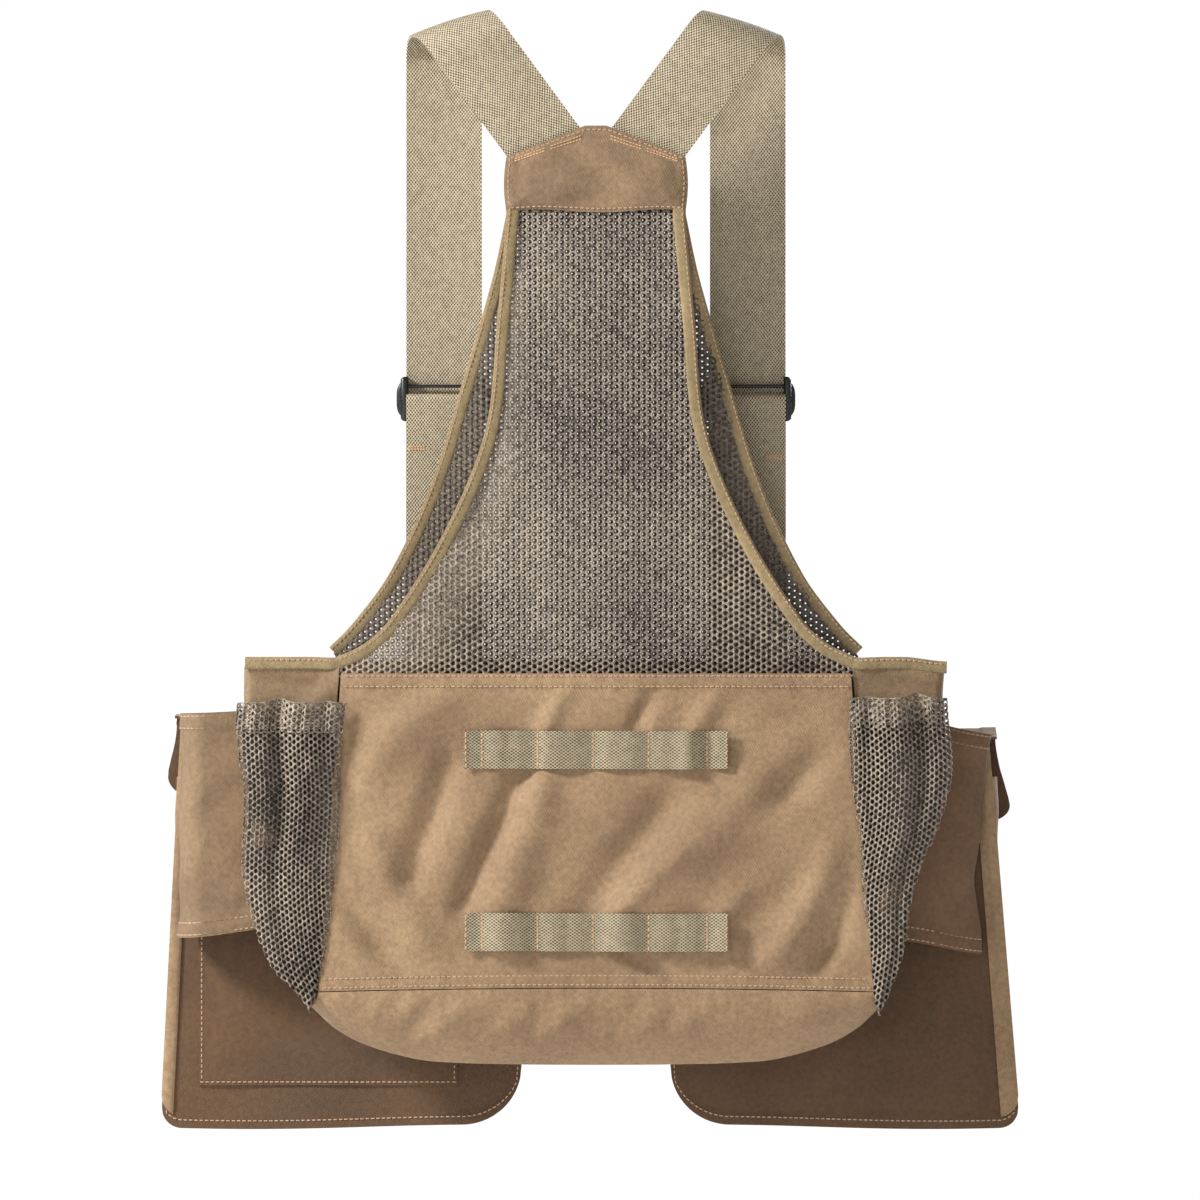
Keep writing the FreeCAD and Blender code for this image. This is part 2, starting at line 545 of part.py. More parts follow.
def sleeve(label, x, long_x, gap_y, gap_z):
    """A flat moulded sleeve along X with a clear slot through it."""
    shell = sized_box(label + "_shell", x, buckle_back, belt_z, long_x, "Sizes.buckle_thick",
                      "Sizes.buckle_tall")
    slot_y = buckle_back + (SIZES["buckle_thick"] - gap_y) / 2
    slot = sized_box(label + "_slot", x, slot_y, belt_z, long_x + 2, gap_y, gap_z)
    cut = doc.addObject("Part::Cut", label)
    cut.Base, cut.Tool = shell, slot
    return cut


socket_x = -SIZES["socket_long"] / 2 + 6.0
socket = sleeve("buckle_socket", socket_x, SIZES["socket_long"], SIZES["buckle_thick"] - 2 * wall,
                SIZES["buckle_tall"] - 2 * wall)
finish_part(socket, "buckle_socket")

plug_start = 6.3
tail = sleeve("buckle_plug_tail", plug_start + SIZES["plug_long"] / 2, SIZES["plug_long"],
              SIZES["webbing"] + 1.0, SIZES["belt_wide"] + 1.0)
prong_tall, prong_gap = 4.0, 0.5
prong_off = SIZES["buckle_tall"] / 2 - wall - prong_gap - prong_tall / 2
prongs = [sized_box("buckle_plug_prong", plug_start + 1 - (SIZES["prong_long"] + 1) / 2,
                    buckle_back + wall + prong_gap, belt_z + way * prong_off, SIZES["prong_long"] + 1,
                    SIZES["buckle_thick"] - 2 * (wall + prong_gap), prong_tall)
          for way in (-1, 1)]
plug = doc.addObject("Part::MultiFuse", "buckle_plug")
plug.Shapes = [tail] + prongs
finish_part(plug, "buckle_plug")

# ---- every feature healthy, then one file for each piece ----
doc.recompute()
for thing in doc.Objects:
    if "Invalid" in thing.State or "Error" in thing.State:
        raise RuntimeError(f"{thing.Label} is {thing.State}")
for piece in parts:
    if piece.Shape.isNull() or not piece.Shape.isValid():
        raise RuntimeError(f"{piece.Label} has no valid shape")
os.makedirs("parts", exist_ok=True)
for piece in parts:
    piece.Shape.exportStep(f"parts/{piece.Label}.step")
    box = piece.Shape.BoundBox
    print(f"{piece.Label:26s} {piece.Shape.Volume:9.0f} mm3  x {box.XMin:7.1f} {box.XMax:7.1f}"
          f"  y {box.YMin:6.1f} {box.YMax:6.1f}  z {box.ZMin:7.1f} {box.ZMax:7.1f}")
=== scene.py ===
import math

import bmesh
import bpy
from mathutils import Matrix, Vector, noise


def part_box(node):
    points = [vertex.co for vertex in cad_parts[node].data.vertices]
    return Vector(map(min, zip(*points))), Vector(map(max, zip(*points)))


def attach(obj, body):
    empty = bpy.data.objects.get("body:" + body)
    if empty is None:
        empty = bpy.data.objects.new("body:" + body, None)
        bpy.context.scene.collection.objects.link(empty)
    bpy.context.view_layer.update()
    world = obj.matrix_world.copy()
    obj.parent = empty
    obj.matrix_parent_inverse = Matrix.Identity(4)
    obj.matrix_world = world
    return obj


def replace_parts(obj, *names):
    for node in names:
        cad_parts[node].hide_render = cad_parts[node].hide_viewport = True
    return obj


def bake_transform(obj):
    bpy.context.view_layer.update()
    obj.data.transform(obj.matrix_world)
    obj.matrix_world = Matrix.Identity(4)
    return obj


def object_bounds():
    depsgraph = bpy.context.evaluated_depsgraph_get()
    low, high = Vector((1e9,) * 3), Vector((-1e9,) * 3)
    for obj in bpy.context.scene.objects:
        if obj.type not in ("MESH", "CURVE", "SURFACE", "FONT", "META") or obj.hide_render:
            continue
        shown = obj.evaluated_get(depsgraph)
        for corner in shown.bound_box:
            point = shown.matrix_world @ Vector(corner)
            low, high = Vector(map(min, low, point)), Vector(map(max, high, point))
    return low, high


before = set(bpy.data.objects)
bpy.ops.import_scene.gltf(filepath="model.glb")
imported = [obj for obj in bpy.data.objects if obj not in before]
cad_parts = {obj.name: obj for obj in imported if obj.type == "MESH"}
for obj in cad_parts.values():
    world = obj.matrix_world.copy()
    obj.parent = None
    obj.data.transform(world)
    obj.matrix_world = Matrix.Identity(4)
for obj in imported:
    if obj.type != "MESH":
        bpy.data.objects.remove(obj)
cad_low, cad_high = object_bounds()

# ---- Camera, light and floor ----
# The vest hangs in front of a white studio, looked at square on from behind through a long lens.
# A big soft light stands high on the left, a weaker one on the right, and one lights the front.
view_width, view_distance = 0.8004, 8.0
vest_middle = Vector((0.0027, 0, -0.385))
camera_data = bpy.data.cameras.new("camera")
camera_data.sensor_width = 36
camera_data.lens = 36 * (view_distance - 0.045) / view_width
camera = bpy.data.objects.new("camera", camera_data)
camera.location = vest_middle + Vector((0, -view_distance, 0))
camera.rotation_euler = (math.radians(90), 0, 0)
bpy.context.scene.collection.objects.link(camera)
bpy.context.scene.camera = camera
bpy.context.scene.view_settings.view_transform = "Standard"

LIGHTS = {"key": ((-2.4, -1.2, 1.6), 0.6, 150), "fill": ((1.9, -1.8, -0.1), 1.6, 5),
          "front": ((1.4, 2.2, 1.0), 1.1, 70), "low": ((-0.4, -2.2, 0.2), 1.2, 8)}
for name, (place, size, power) in LIGHTS.items():
    lamp = bpy.data.lights.new(name, "AREA")
    lamp.size, lamp.energy = size, power
    lamp_object = bpy.data.objects.new(name, lamp)
    lamp_object.location = vest_middle + Vector(place)
    lamp_object.rotation_euler = (-Vector(place)).to_track_quat("-Z", "Y").to_euler()
    bpy.context.scene.collection.objects.link(lamp_object)


def linear(colour):
    """An sRGB hex colour as linear red, green, blue and alpha."""
    parts = [int(colour[i:i + 2], 16) / 255 for i in (1, 3, 5)]
    return tuple(c / 12.92 if c <= 0.04045 else ((c + 0.055) / 1.055) ** 2.4 for c in parts) + (1,)


def add_node(material, kind, settings, links=()):
    """Adds a node. Settings are its properties and sockets by name or number; links feed its sockets."""
    node = material.node_tree.nodes.new(kind)
    for key, value in settings.items():
        if isinstance(key, int) or key in node.inputs:
            node.inputs[key].default_value = value
        else:
            setattr(node, key, value)
    for key, source in dict(links).items():
        material.node_tree.links.new(source, node.inputs[key])
    return node


def new_material(name):
    """A material of that name, and the place on its object that its patterns read."""
    material = bpy.data.materials.new(name)
    material.use_nodes = True
    return material, add_node(material, "ShaderNodeTexCoord", {}).outputs["Object"]


def feed(material, sources, settings):
    """Links sources to the shader's sockets by name, and sets its constant sockets."""
    shader = material.node_tree.nodes["Principled BSDF"]
    for socket, source in sources.items():
        material.node_tree.links.new(source, shader.inputs[socket])
    for socket, value in settings.items():
        shader.inputs[socket].default_value = value
    return material


def primitive(name, kind, **sizes):
    """A new primitive of that kind, alone selected and named."""
    bpy.ops.object.select_all(action="DESELECT")
    getattr(bpy.ops.mesh, f"primitive_{kind}_add")(**sizes)
    bpy.context.object.name = bpy.context.object.data.name = name
    return bpy.context.object


world = bpy.data.worlds.new("white_studio")
world.use_nodes = True
bpy.context.scene.world = world
sky = world.node_tree.nodes["Background"]
ray = add_node(world, "ShaderNodeLightPath", {})
glow = add_node(world, "ShaderNodeMath", {"operation": "MULTIPLY_ADD", 1: 0.79, 2: 0.23},
                {0: ray.outputs["Is Camera Ray"]})
sky.inputs["Color"].default_value = (1, 1, 1, 1)
world.node_tree.links.new(glow.outputs[0], sky.inputs["Strength"])

floor = primitive("floor", "plane", size=6)
for corner in floor.data.vertices:
    corner.co = Vector((corner.co.x, corner.co.y - 2.8, cad_low.z - 0.08))
paint = new_material("pale_floor_paint")[0]
floor.data.materials.append(feed(paint, {}, {"Base Color": linear("#F6F5F3"), "Roughness": 0.9}))

# ---- Yoke: outer patch and lining ----
# Two layers of dry waxed cotton cut to a low gable, sewn together round the mesh and the strap ends.
# The cloth is a tight twill that shades from tan to brown where it is creased and handled.


def waxed_cotton(name, colours):
    """Waxed cotton twill, woven and dry finished: matt, cloudy in tone, paler along its creases."""
    shade, middle, pale = (linear(colour) for colour in colours)
    cloth, place = new_material(name)
    cloud = add_node(cloth, "ShaderNodeTexNoise", {"Scale": 11, "Detail": 3}, {"Vector": place})
    slub = add_node(cloth, "ShaderNodeTexNoise", {"Scale": 300, "Detail": 4}, {"Vector": place})
    grain = add_node(cloth, "ShaderNodeTexNoise", {"Scale": 1300, "Detail": 1}, {"Vector": place})
    crease = add_node(cloth, "ShaderNodeTexNoise",
                      {"noise_type": "RIDGED_MULTIFRACTAL", "Scale": 17, "Detail": 4, "Roughness": 0.4},
                      {"Vector": place})
    worn = add_node(cloth, "ShaderNodeMapRange", {1: 0.55, 2: 1.0, 3: 0.0, 4: 0.35},
                    {0: crease.outputs["Fac"]})
    tone = add_node(cloth, "ShaderNodeMapRange", {1: 0.35, 2: 0.68, 3: 0.0, 4: 0.8},
                    {0: cloud.outputs["Fac"]})
    base = add_node(cloth, "ShaderNodeMix", {"data_type": "RGBA", 6: middle, 7: shade},
                    {0: tone.outputs[0]})
    rubbed = add_node(cloth, "ShaderNodeMix", {"data_type": "RGBA", 7: pale},
                      {0: worn.outputs[0], 6: base.outputs[2]})
    speck = add_node(cloth, "ShaderNodeMapRange", {1: 0.3, 2: 0.7, 3: 0.80, 4: 1.16},
                     {0: slub.outputs["Fac"]})
    flecked = add_node(cloth, "ShaderNodeVectorMath", {"operation": "SCALE"},
                       {0: rubbed.outputs[2], "Scale": speck.outputs[0]})
    # Twill ribs are drawn 1.6 mm apart, three times the real spacing, so that they show at all.
    turned = add_node(cloth, "ShaderNodeMapping", {"Rotation": (0, math.radians(28), 0)}, {"Vector": place})
    twill = add_node(cloth, "ShaderNodeTexWave", {"Scale": math.tau / 20 / 0.0016, "Distortion": 0.6,
                                                  "Detail": 1}, {"Vector": turned.outputs[0]})
    yarn = add_node(cloth, "ShaderNodeMath", {"operation": "MULTIPLY_ADD", 1: 0.35},
                    {0: twill.outputs["Fac"], 2: grain.outputs["Fac"]})
    rough = add_node(cloth, "ShaderNodeMath", {"operation": "MULTIPLY_ADD", 1: 0.8},
                     {0: slub.outputs["Fac"], 2: yarn.outputs[0]})
    bump = add_node(cloth, "ShaderNodeBump", {"Strength": 0.35, "Distance": 0.0006},
                    {"Height": rough.outputs[0]})
    return feed(cloth, {"Base Color": flecked.outputs[0], "Normal": bump.outputs[0]},
                {"Roughness": 0.78, "Sheen Weight": 0.12, "Sheen Roughness": 0.5})


tan_cotton = waxed_cotton("waxed_cotton_tan", ("#81664A", "#9A7E5E", "#B49B7C"))
# A darker copy of the same cloth with painted shade, for the yoke's outer patch, the wings and the left hip
# panel.
shade_copy_cotton = waxed_cotton("waxed_cotton_tan_painted_shade", ("#6E5740", "#866D50", "#A28B6D"))
CLOTH_THICK = 0.0011


def spread(low, high, share):
    """The value that lies at a share of the way from low to high."""
    return low + (high - low) * share


def share_of(low, high, value):
    """Where a value lies between low and high, as a share."""
    return (value - low) / (high - low)


def ease(share):
    """A smooth step from 0 to 1."""
    share = min(max(share, 0.0), 1.0)
    return share * share * (3 - 2 * share)


def ripple(across, up, long, wide, turn, seed):
    """Soft folds lying at a turn from level: long along themselves, wide from one to the next."""
    along = across * math.cos(turn) + up * math.sin(turn)
    over = up * math.cos(turn) - across * math.sin(turn)
    return noise.noise(Vector((along / long + seed, over / wide, seed * 1.7)))


def applied(piece, kind, **settings):
    """Adds a modifier to the piece and applies it."""
    modifier = piece.modifiers.new(kind, kind)
    for key, value in settings.items():
        setattr(modifier, key, value)
    bpy.ops.object.modifier_apply(modifier=modifier.name)


def closed(mesh, gap=1e-6):
    """Merges corners that are that close, fills what is open, and turns all faces outwards."""
    shape = bmesh.new()
    shape.from_mesh(mesh)
    bmesh.ops.remove_doubles(shape, verts=shape.verts, dist=gap)
    bmesh.ops.holes_fill(shape, edges=[edge for edge in shape.edges if edge.is_boundary], sides=0)
    bmesh.ops.recalc_face_normals(shape, faces=shape.faces)
    shape.to_mesh(mesh)
    shape.free()


def handed_over(piece, material, body):
    """Gives the piece its material and the body it moves with, if it keeps to one."""
    if material:
        piece.data.materials.append(material)
    if body:
        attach(piece, body)
    return piece


def sewn_cloth(name, columns, rows, place, thickness, material, body="vest", size=(1, 1), skew=0,
               behind=None):
    """A grid of cloth laid out by place(u, v), u to the right and v up, thickened behind its face."""
    piece = primitive(name, "grid", x_subdivisions=columns, y_subdivisions=rows, size=1, calc_uvs=True)
    for vertex in piece.data.vertices:
        vertex.co = place(vertex.co.x + 0.5, vertex.co.y + 0.5)
    for corner in piece.data.uv_layers.active.data:
        corner.uv = (corner.uv.x * size[0], corner.uv.y * size[1] + corner.uv.x * size[0] * skew)
    for cloth in (material, behind):
        if cloth:
            piece.data.materials.append(cloth)
    other = 1 if behind else 0
    applied(piece, "SOLIDIFY", thickness=thickness, offset=-1, material_offset=other,
            material_offset_rim=other)
    bpy.ops.object.shade_smooth_by_angle(angle=math.radians(50))
    return handed_over(piece, None, body)


def gable(share, box_low, box_high, side_drop, peak_share):
    """Height of the yoke's top edge: level at the peak, straight down to each side."""
    slope = min(1.0, (1 - abs(2 * share - 1)) / (1 - peak_share))
    return spread(box_high.z - side_drop, box_high.z, slope)


yoke_low, yoke_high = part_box("yoke_outer")
yoke_side_drop, yoke_peak_share = 0.021, 0.12


def yoke_face(u, v):
    """The outer patch: a soft cushion held down along its seams, with short creases."""
    x = spread(yoke_low.x, yoke_high.x, u)
    x += 0.0015 * math.sin(3.2 * v) * (1 if u > 0.5 else -1) * abs(2 * u - 1)
    top = gable(u, yoke_low, yoke_high, yoke_side_drop, yoke_peak_share)
    z = spread(yoke_low.z + 0.001 * math.sin(9 * u), top, v)
    inside = min(u, 1 - u, v * 0.5, (1 - v) * 0.5) * 4
    swell = 0.0028 * ease(inside * 1.6) + 0.0011 * ease(inside * 6)
    fold = ripple(x, z, 0.05, 0.016, -0.5, 3.1) * 0.0034 + ripple(x, z, 0.09, 0.024, 0.9, 7.3) * 0.0026
    return Vector((x, yoke_low.y - 0.0005 - swell - fold * ease(inside * 3), z))


# The outer patch takes the darker copy of the cloth, with painted shade.
yoke = sewn_cloth("yoke_patch", 90, 44, yoke_face, CLOTH_THICK, shade_copy_cotton)
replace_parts(yoke, "yoke_outer")
lining_low, lining_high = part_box("yoke_lining")


def lining_face(u, v):
    """The lining patch, flatter, with the same outline."""
    x = spread(lining_high.x, lining_low.x, u)
    top = gable(u, lining_low, lining_high, yoke_side_drop, yoke_peak_share)
    z = spread(lining_low.z, top, v)
    inside = ease(min(u, 1 - u, v, 1 - v) * 6)
    return Vector((x, lining_high.y + 0.001 * inside + 0.0008 * inside * ripple(x, z, 0.06, 0.02, 0.6, 5), z))


lining = sewn_cloth("yoke_lining_patch", 48, 24, lining_face, CLOTH_THICK, tan_cotton)
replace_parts(lining, "yoke_lining")


# Lockstitch in a heavy bonded thread, sunk a little into the cloth: one small rounded bar a stitch.
def bonded_thread(name, colour):
    """Bonded nylon thread, twisted and smooth: a soft gloss on each stitch."""
    thread, place = new_material(name)
    twist = add_node(thread, "ShaderNodeTexNoise", {"Scale": 700, "Detail": 1}, {"Vector": place})
    tone = add_node(thread, "ShaderNodeMapRange", {1: 0.3, 2: 0.7, 3: 0.75, 4: 1.1},
                    {0: twist.outputs["Fac"]})
    shaded = add_node(thread, "ShaderNodeVectorMath", {"operation": "SCALE", 0: linear(colour)[:3]},
                      {"Scale": tone.outputs[0]})
    return feed(thread, {"Base Color": shaded.outputs[0]}, {"Roughness": 0.5})


seam_thread = bonded_thread("thread_tan", "#B8967A")
tack_thread = bonded_thread("thread_rose_tan", "#CBA07C")


def stitch_rows(name, rows, material, body="vest", pitch=0.0036, length=0.0027, width=0.0008):
    """Stitches along rows of points that lie on the cloth. Each row is (points, outward direction)."""
    corners, faces = [], []
    for points, outward in rows:
        outward = Vector(outward).normalized()
        travelled, next_stitch = 0.0, pitch / 2
        for start, end in zip(points, points[1:]):
            span = (end - start).length
            if span < 1e-7:
                continue
            along = (end - start) / span
            beside = along.cross(outward).normalized()
            while next_stitch <= travelled + span:
                middle = start + along * (next_stitch - travelled)
                first = len(corners)
                for reach, rise in ((-0.5, -0.0002), (-0.3, 0.00045), (0.3, 0.00045), (0.5, -0.0002)):
                    for way in (-0.5, 0.5):
                        corners.append(middle + along * (reach * length) + beside * (way * width)
                                       + outward * rise)
                a = first
                faces += [(a, a + 1, a + 3, a + 2), (a + 2, a + 3, a + 5, a + 4),
                          (a + 4, a + 5, a + 7, a + 6), (a + 1, a, a + 6, a + 7),
                          (a, a + 2, a + 4, a + 6), (a + 1, a + 7, a + 5, a + 3)]
                next_stitch += pitch
            travelled += span
    mesh = bpy.data.meshes.new(name)
    mesh.from_pydata(corners, [], faces)
    closed(mesh, 0)
    piece = bpy.data.objects.new(name, mesh)
    bpy.context.scene.collection.objects.link(piece)
    return handed_over(piece, material, body)


def seam(place, ends, steps=40):
    """Points on a cloth face from one (u, v) to the next, through all the ends given."""
    points = []
    for (u0, v0), (u1, v1) in zip(ends, ends[1:]):
        points += [place(spread(u0, u1, i / steps), spread(v0, v1, i / steps)) for i in range(steps)]
    return points + [place(*ends[-1])]


BACKWARD = (0, -1, 0)
edge_u, edge_v = 0.022, 0.045
peak_u = yoke_peak_share / 2
yoke_seams = [(seam(yoke_face, [(edge_u, edge_v), (1 - edge_u, edge_v), (1 - edge_u, 1 - edge_v),
                                (0.5 + peak_u, 1 - edge_v), (0.5 - peak_u, 1 - edge_v),
                                (edge_u, 1 - edge_v), (edge_u, edge_v)]), BACKWARD)]
stitch_rows("yoke_edge_stitching", yoke_seams, seam_thread)
tack_rows = []
for u0, u1 in ((0.05, 0.22), (0.25, 0.42), (0.58, 0.75), (0.78, 0.95)):
    for depth in (0.1, 0.14):
        tack_rows.append((seam(yoke_face, [(u0, 1 - depth), (u1, 1 - depth)], 12), BACKWARD))
stitch_rows("yoke_strap_tacks", tack_rows, tack_thread, pitch=0.0022, length=0.0021)

# ---- Mesh panels: outer and inner ----
# Two bell-shaped pieces of warp-knitted polyester net, hanging a little loose from the yoke.
# The net is a field of small round holes; each ring of yarn stands slightly proud of the next.
hem_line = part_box("front_panel_left")[0].z - 0.001
NET_PITCH, NET_YARN, YARN_THICK = 0.0042, 0.00095, 0.0008
INNER_YARN, POCKET_YARN, POCKET_SHADE_YARN = 0.00155, 0.00080, 0.0019


def between(table, height):
    """A smooth curve through (height, value) pairs that run downwards."""
    if height >= table[0][0]:
        return table[0][1]
    if height <= table[-1][0]:
        return table[-1][1]
    slopes = []
    for i in range(len(table)):
        (h0, v0), (h1, v1) = table[max(i - 1, 0)], table[min(i + 1, len(table) - 1)]
        slopes.append((v1 - v0) / (h1 - h0))
    for i in range(len(table) - 1):
        (h0, v0), (h1, v1) = table[i], table[i + 1]
        if h1 <= height <= h0:
            gap = h1 - h0
            t = (height - h0) / gap
            return ((2 * t ** 3 - 3 * t ** 2 + 1) * v0 + (t ** 3 - 2 * t ** 2 + t) * gap * slopes[i]
                    + (3 * t ** 2 - 2 * t ** 3) * v1 + (t ** 3 - t ** 2) * gap * slopes[i + 1])


def knitted_polyester(name, colours):
    """Knitted polyester yarn: fuzzy and matt, paler where the loops catch the light."""
    dark, pale = (linear(colour) for colour in colours)
    net, place = new_material(name)
    loops = add_node(net, "ShaderNodeTexNoise", {"Scale": 420, "Detail": 2}, {"Vector": place})
    drift = add_node(net, "ShaderNodeTexNoise", {"Scale": 9, "Detail": 2}, {"Vector": place})
    both = add_node(net, "ShaderNodeMath", {"operation": "MULTIPLY_ADD", 1: 0.55},
                    {0: drift.outputs["Fac"], 2: loops.outputs["Fac"]})
    tone = add_node(net, "ShaderNodeMapRange", {1: 0.55, 2: 1.0, 3: 0.0, 4: 1.0}, {0: both.outputs[0]})
    mixed = add_node(net, "ShaderNodeMix", {"data_type": "RGBA", 6: dark, 7: pale},
                     {0: tone.outputs[0]})
    strands = add_node(net, "ShaderNodeTexNoise", {"Scale": 1500, "Detail": 1}, {"Vector": place})
    bump = add_node(net, "ShaderNodeBump", {"Strength": 0.5, "Distance": 0.0004},
                    {"Height": strands.outputs["Fac"]})
    return feed(net, {"Base Color": mixed.outputs[2], "Normal": bump.outputs[0]}, {"Roughness": 0.5})


net_yarn = knitted_polyester("knitted_polyester_net", ("#3A2F26", "#AC9D8B"))
# A darker copy of the net yarn with painted shade, for the inner net that lies behind the outer one.
shaded_yarn = knitted_polyester("knitted_polyester_net_painted_shade", ("#2A221B", "#776A5C"))
# A near-black copy of the net yarn with painted shade, for the dark net inside each side pocket.
pocket_shade_yarn = knitted_polyester("knitted_polyester_net_pocket_shade", ("#1D1712", "#4A4036"))


def knit_net(name, low, high, inside, place, yarn, material=net_yarn):
    """Six-sided meshes over a flat patch, cut where inside(x, z) ends, laid by place(x, z).
    The yarn stands proud along the middle of each bar and rolls down to the hole on both sides."""
    radius, column = NET_PITCH / math.sqrt(3), NET_PITCH * math.sqrt(3)
    net = primitive(name, "circle", vertices=6, radius=radius, fill_type="NGON")
    bpy.ops.object.mode_set(mode="EDIT")
    bpy.ops.mesh.select_all(action="SELECT")
    bpy.ops.mesh.inset(thickness=yarn)
    bpy.ops.mesh.delete(type="FACE")
    bpy.ops.object.mode_set(mode="OBJECT")
    for vertex in net.data.vertices:
        relief = YARN_THICK if vertex.co.length > radius * 0.9 else 0
        vertex.co = Vector((vertex.co.y, vertex.co.x, relief))
    columns, rows = math.ceil((high[0] - low[0]) / column), math.ceil((high[1] - low[1]) / NET_PITCH)
    for count, step in ((2, (column / 2, NET_PITCH / 2, 0)), (columns, (column, 0, 0)),
                        (rows, (0, NET_PITCH, 0))):
        applied(net, "ARRAY", count=count, use_relative_offset=False, use_constant_offset=True,
                constant_offset_displace=step)
    shape = bmesh.new()
    shape.from_mesh(net.data)
    bmesh.ops.remove_doubles(shape, verts=shape.verts, dist=NET_PITCH / 50)
    outside = []
    for face in shape.faces:
        middle = face.calc_center_median()
        if not inside(middle.x + low[0], middle.y + low[1]):
            outside.append(face)
    bmesh.ops.delete(shape, geom=outside, context="FACES")
    for vertex in shape.verts:
        lift = vertex.co.z
        vertex.co = place(vertex.co.x + low[0], vertex.co.y + low[1]) + Vector((0, -lift, 0))
    bmesh.ops.recalc_face_normals(shape, faces=shape.faces)
    if sum(face.normal.y for face in shape.faces) > 0:
        bmesh.ops.reverse_faces(shape, faces=shape.faces)
    shape.to_mesh(net.data)
    shape.free()
    applied(net, "SOLIDIFY", thickness=YARN_THICK, offset=-1)
    bpy.ops.object.shade_smooth()
    return handed_over(net, material, "vest")


OUTER_EDGE = ((0.612, 0.0555), (0.541, 0.062), (0.467, 0.070), (0.400, 0.097), (0.340, 0.134),
              (0.322, 0.153), (0.312, 0.174))
INNER_EDGE = ((0.612, 0.056), (0.570, 0.065), (0.501, 0.085), (0.430, 0.107), (0.370, 0.135),
              (0.335, 0.161), (0.320, 0.176))
outer_low, outer_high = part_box("outer_mesh_panel")
inner_low, inner_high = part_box("inner_mesh_panel")


def outer_net_face(x, z):
    """The outer net hangs from the yoke to the bag in shallow upright folds."""
    share = share_of(outer_low.z, outer_high.z, z)
    y = spread(outer_low.y + 0.0004, outer_high.y - 0.0008, share)
    folds = ripple(x, z, 0.30, 0.016, math.pi / 2 + 0.06 * x / 0.1, 11.5)
    loose = ease(min(share, 1 - share) * 5)
    return Vector((x, y - 0.0022 * folds * loose, z))


def inner_net_face(x, z):
    """The inner net is pulled nearly flat."""
    share = share_of(inner_low.z, inner_high.z, z)
    folds = ripple(x, z, 0.25, 0.03, math.pi / 2, 4.2)
    return Vector((x, inner_low.y - 0.0008 * folds * ease(min(share, 1 - share) * 5), z))


def within_edge(edge, low, high):
    def inside(x, z):
        return low < z < high and abs(x) < between(edge, z - hem_line) - 0.0012
    return inside


outer_net = knit_net("outer_net", (outer_low.x, outer_low.z), (outer_high.x, outer_high.z),
                     within_edge(OUTER_EDGE, outer_low.z + 0.004, outer_high.z), outer_net_face, NET_YARN)
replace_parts(outer_net, "outer_mesh_panel")
inner_net = knit_net("inner_net", (inner_low.x, inner_low.z), (inner_high.x, inner_high.z),
                     within_edge(INNER_EDGE, inner_low.z - 0.02, inner_high.z), inner_net_face,
                     INNER_YARN, material=shaded_yarn)
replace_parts(inner_net, "inner_mesh_panel")

# ---- Bindings ----
# A strip of the same cotton folded over the raw edge of the net and topstitched near its inner edge.
# The outer pair runs on along the tops of the wings; the inner pair ends under it.
binding_cotton = waxed_cotton("waxed_cotton_binding", ("#72603F", "#917D59", "#AD9974"))


def even_path(points, count):
    """Points spaced evenly along a chain of close points."""
    lengths = [(b - a).length for a, b in zip(points, points[1:])]
    step, path, travelled, i = sum(lengths) / (count - 1), [points[0]], 0.0, 0
    for n in range(1, count - 1):
        while travelled + lengths[i] < n * step:
            travelled += lengths[i]
            i += 1
        path.append(points[i].lerp(points[i + 1], (n * step - travelled) / lengths[i]))
    return path + [points[-1]]


BINDING_HALF, BINDING_THICK, BINDING_TOP = 0.0041, 0.003, 0.6180
SIDES = (("left", -1), ("right", 1))


def folded_strip(name, path, wave):
    """A flat tube along a path: the fold on one side, the cut edges turned in on the other."""
    count, outward = len(path), Vector(BACKWARD)
    strip = primitive(name, "grid", x_subdivisions=16, y_subdivisions=count - 1, size=1)
    for vertex in strip.data.vertices:
        turn = -(vertex.co.x + 0.5) * math.tau
        n = round((vertex.co.y + 0.5) * (count - 1))
        along = (path[min(n + 1, count - 1)] - path[max(n - 1, 0)]).normalized()
        beside = along.cross(outward).normalized()
        rise = math.copysign(abs(math.sin(turn)) ** 0.6, math.sin(turn)) * BINDING_THICK / 2
        reach = math.copysign(abs(math.cos(turn)) ** 0.75, math.cos(turn)) * BINDING_HALF
        wobble = wave * noise.noise(path[n] * 70 + Vector((5, 0, reach * 90)))
        vertex.co = path[n] + beside * reach + beside.cross(along) * -(rise + wobble)
    closed(strip.data)
    bpy.ops.object.shade_smooth_by_angle(angle=math.radians(60))
    return handed_over(strip, binding_cotton, "vest")


def stitch_line(path, side):
    """The path of the binding's own stitches: nearer its inner edge, and on its outer face."""
    moved, facing = [], Vector(BACKWARD)
    for n, point in enumerate(path):
        along = (path[min(n + 1, len(path) - 1)] - path[max(n - 1, 0)]).normalized()
        moved.append(point + along.cross(facing).normalized() * 0.0022 * -side + facing * 0.0015)
    return moved


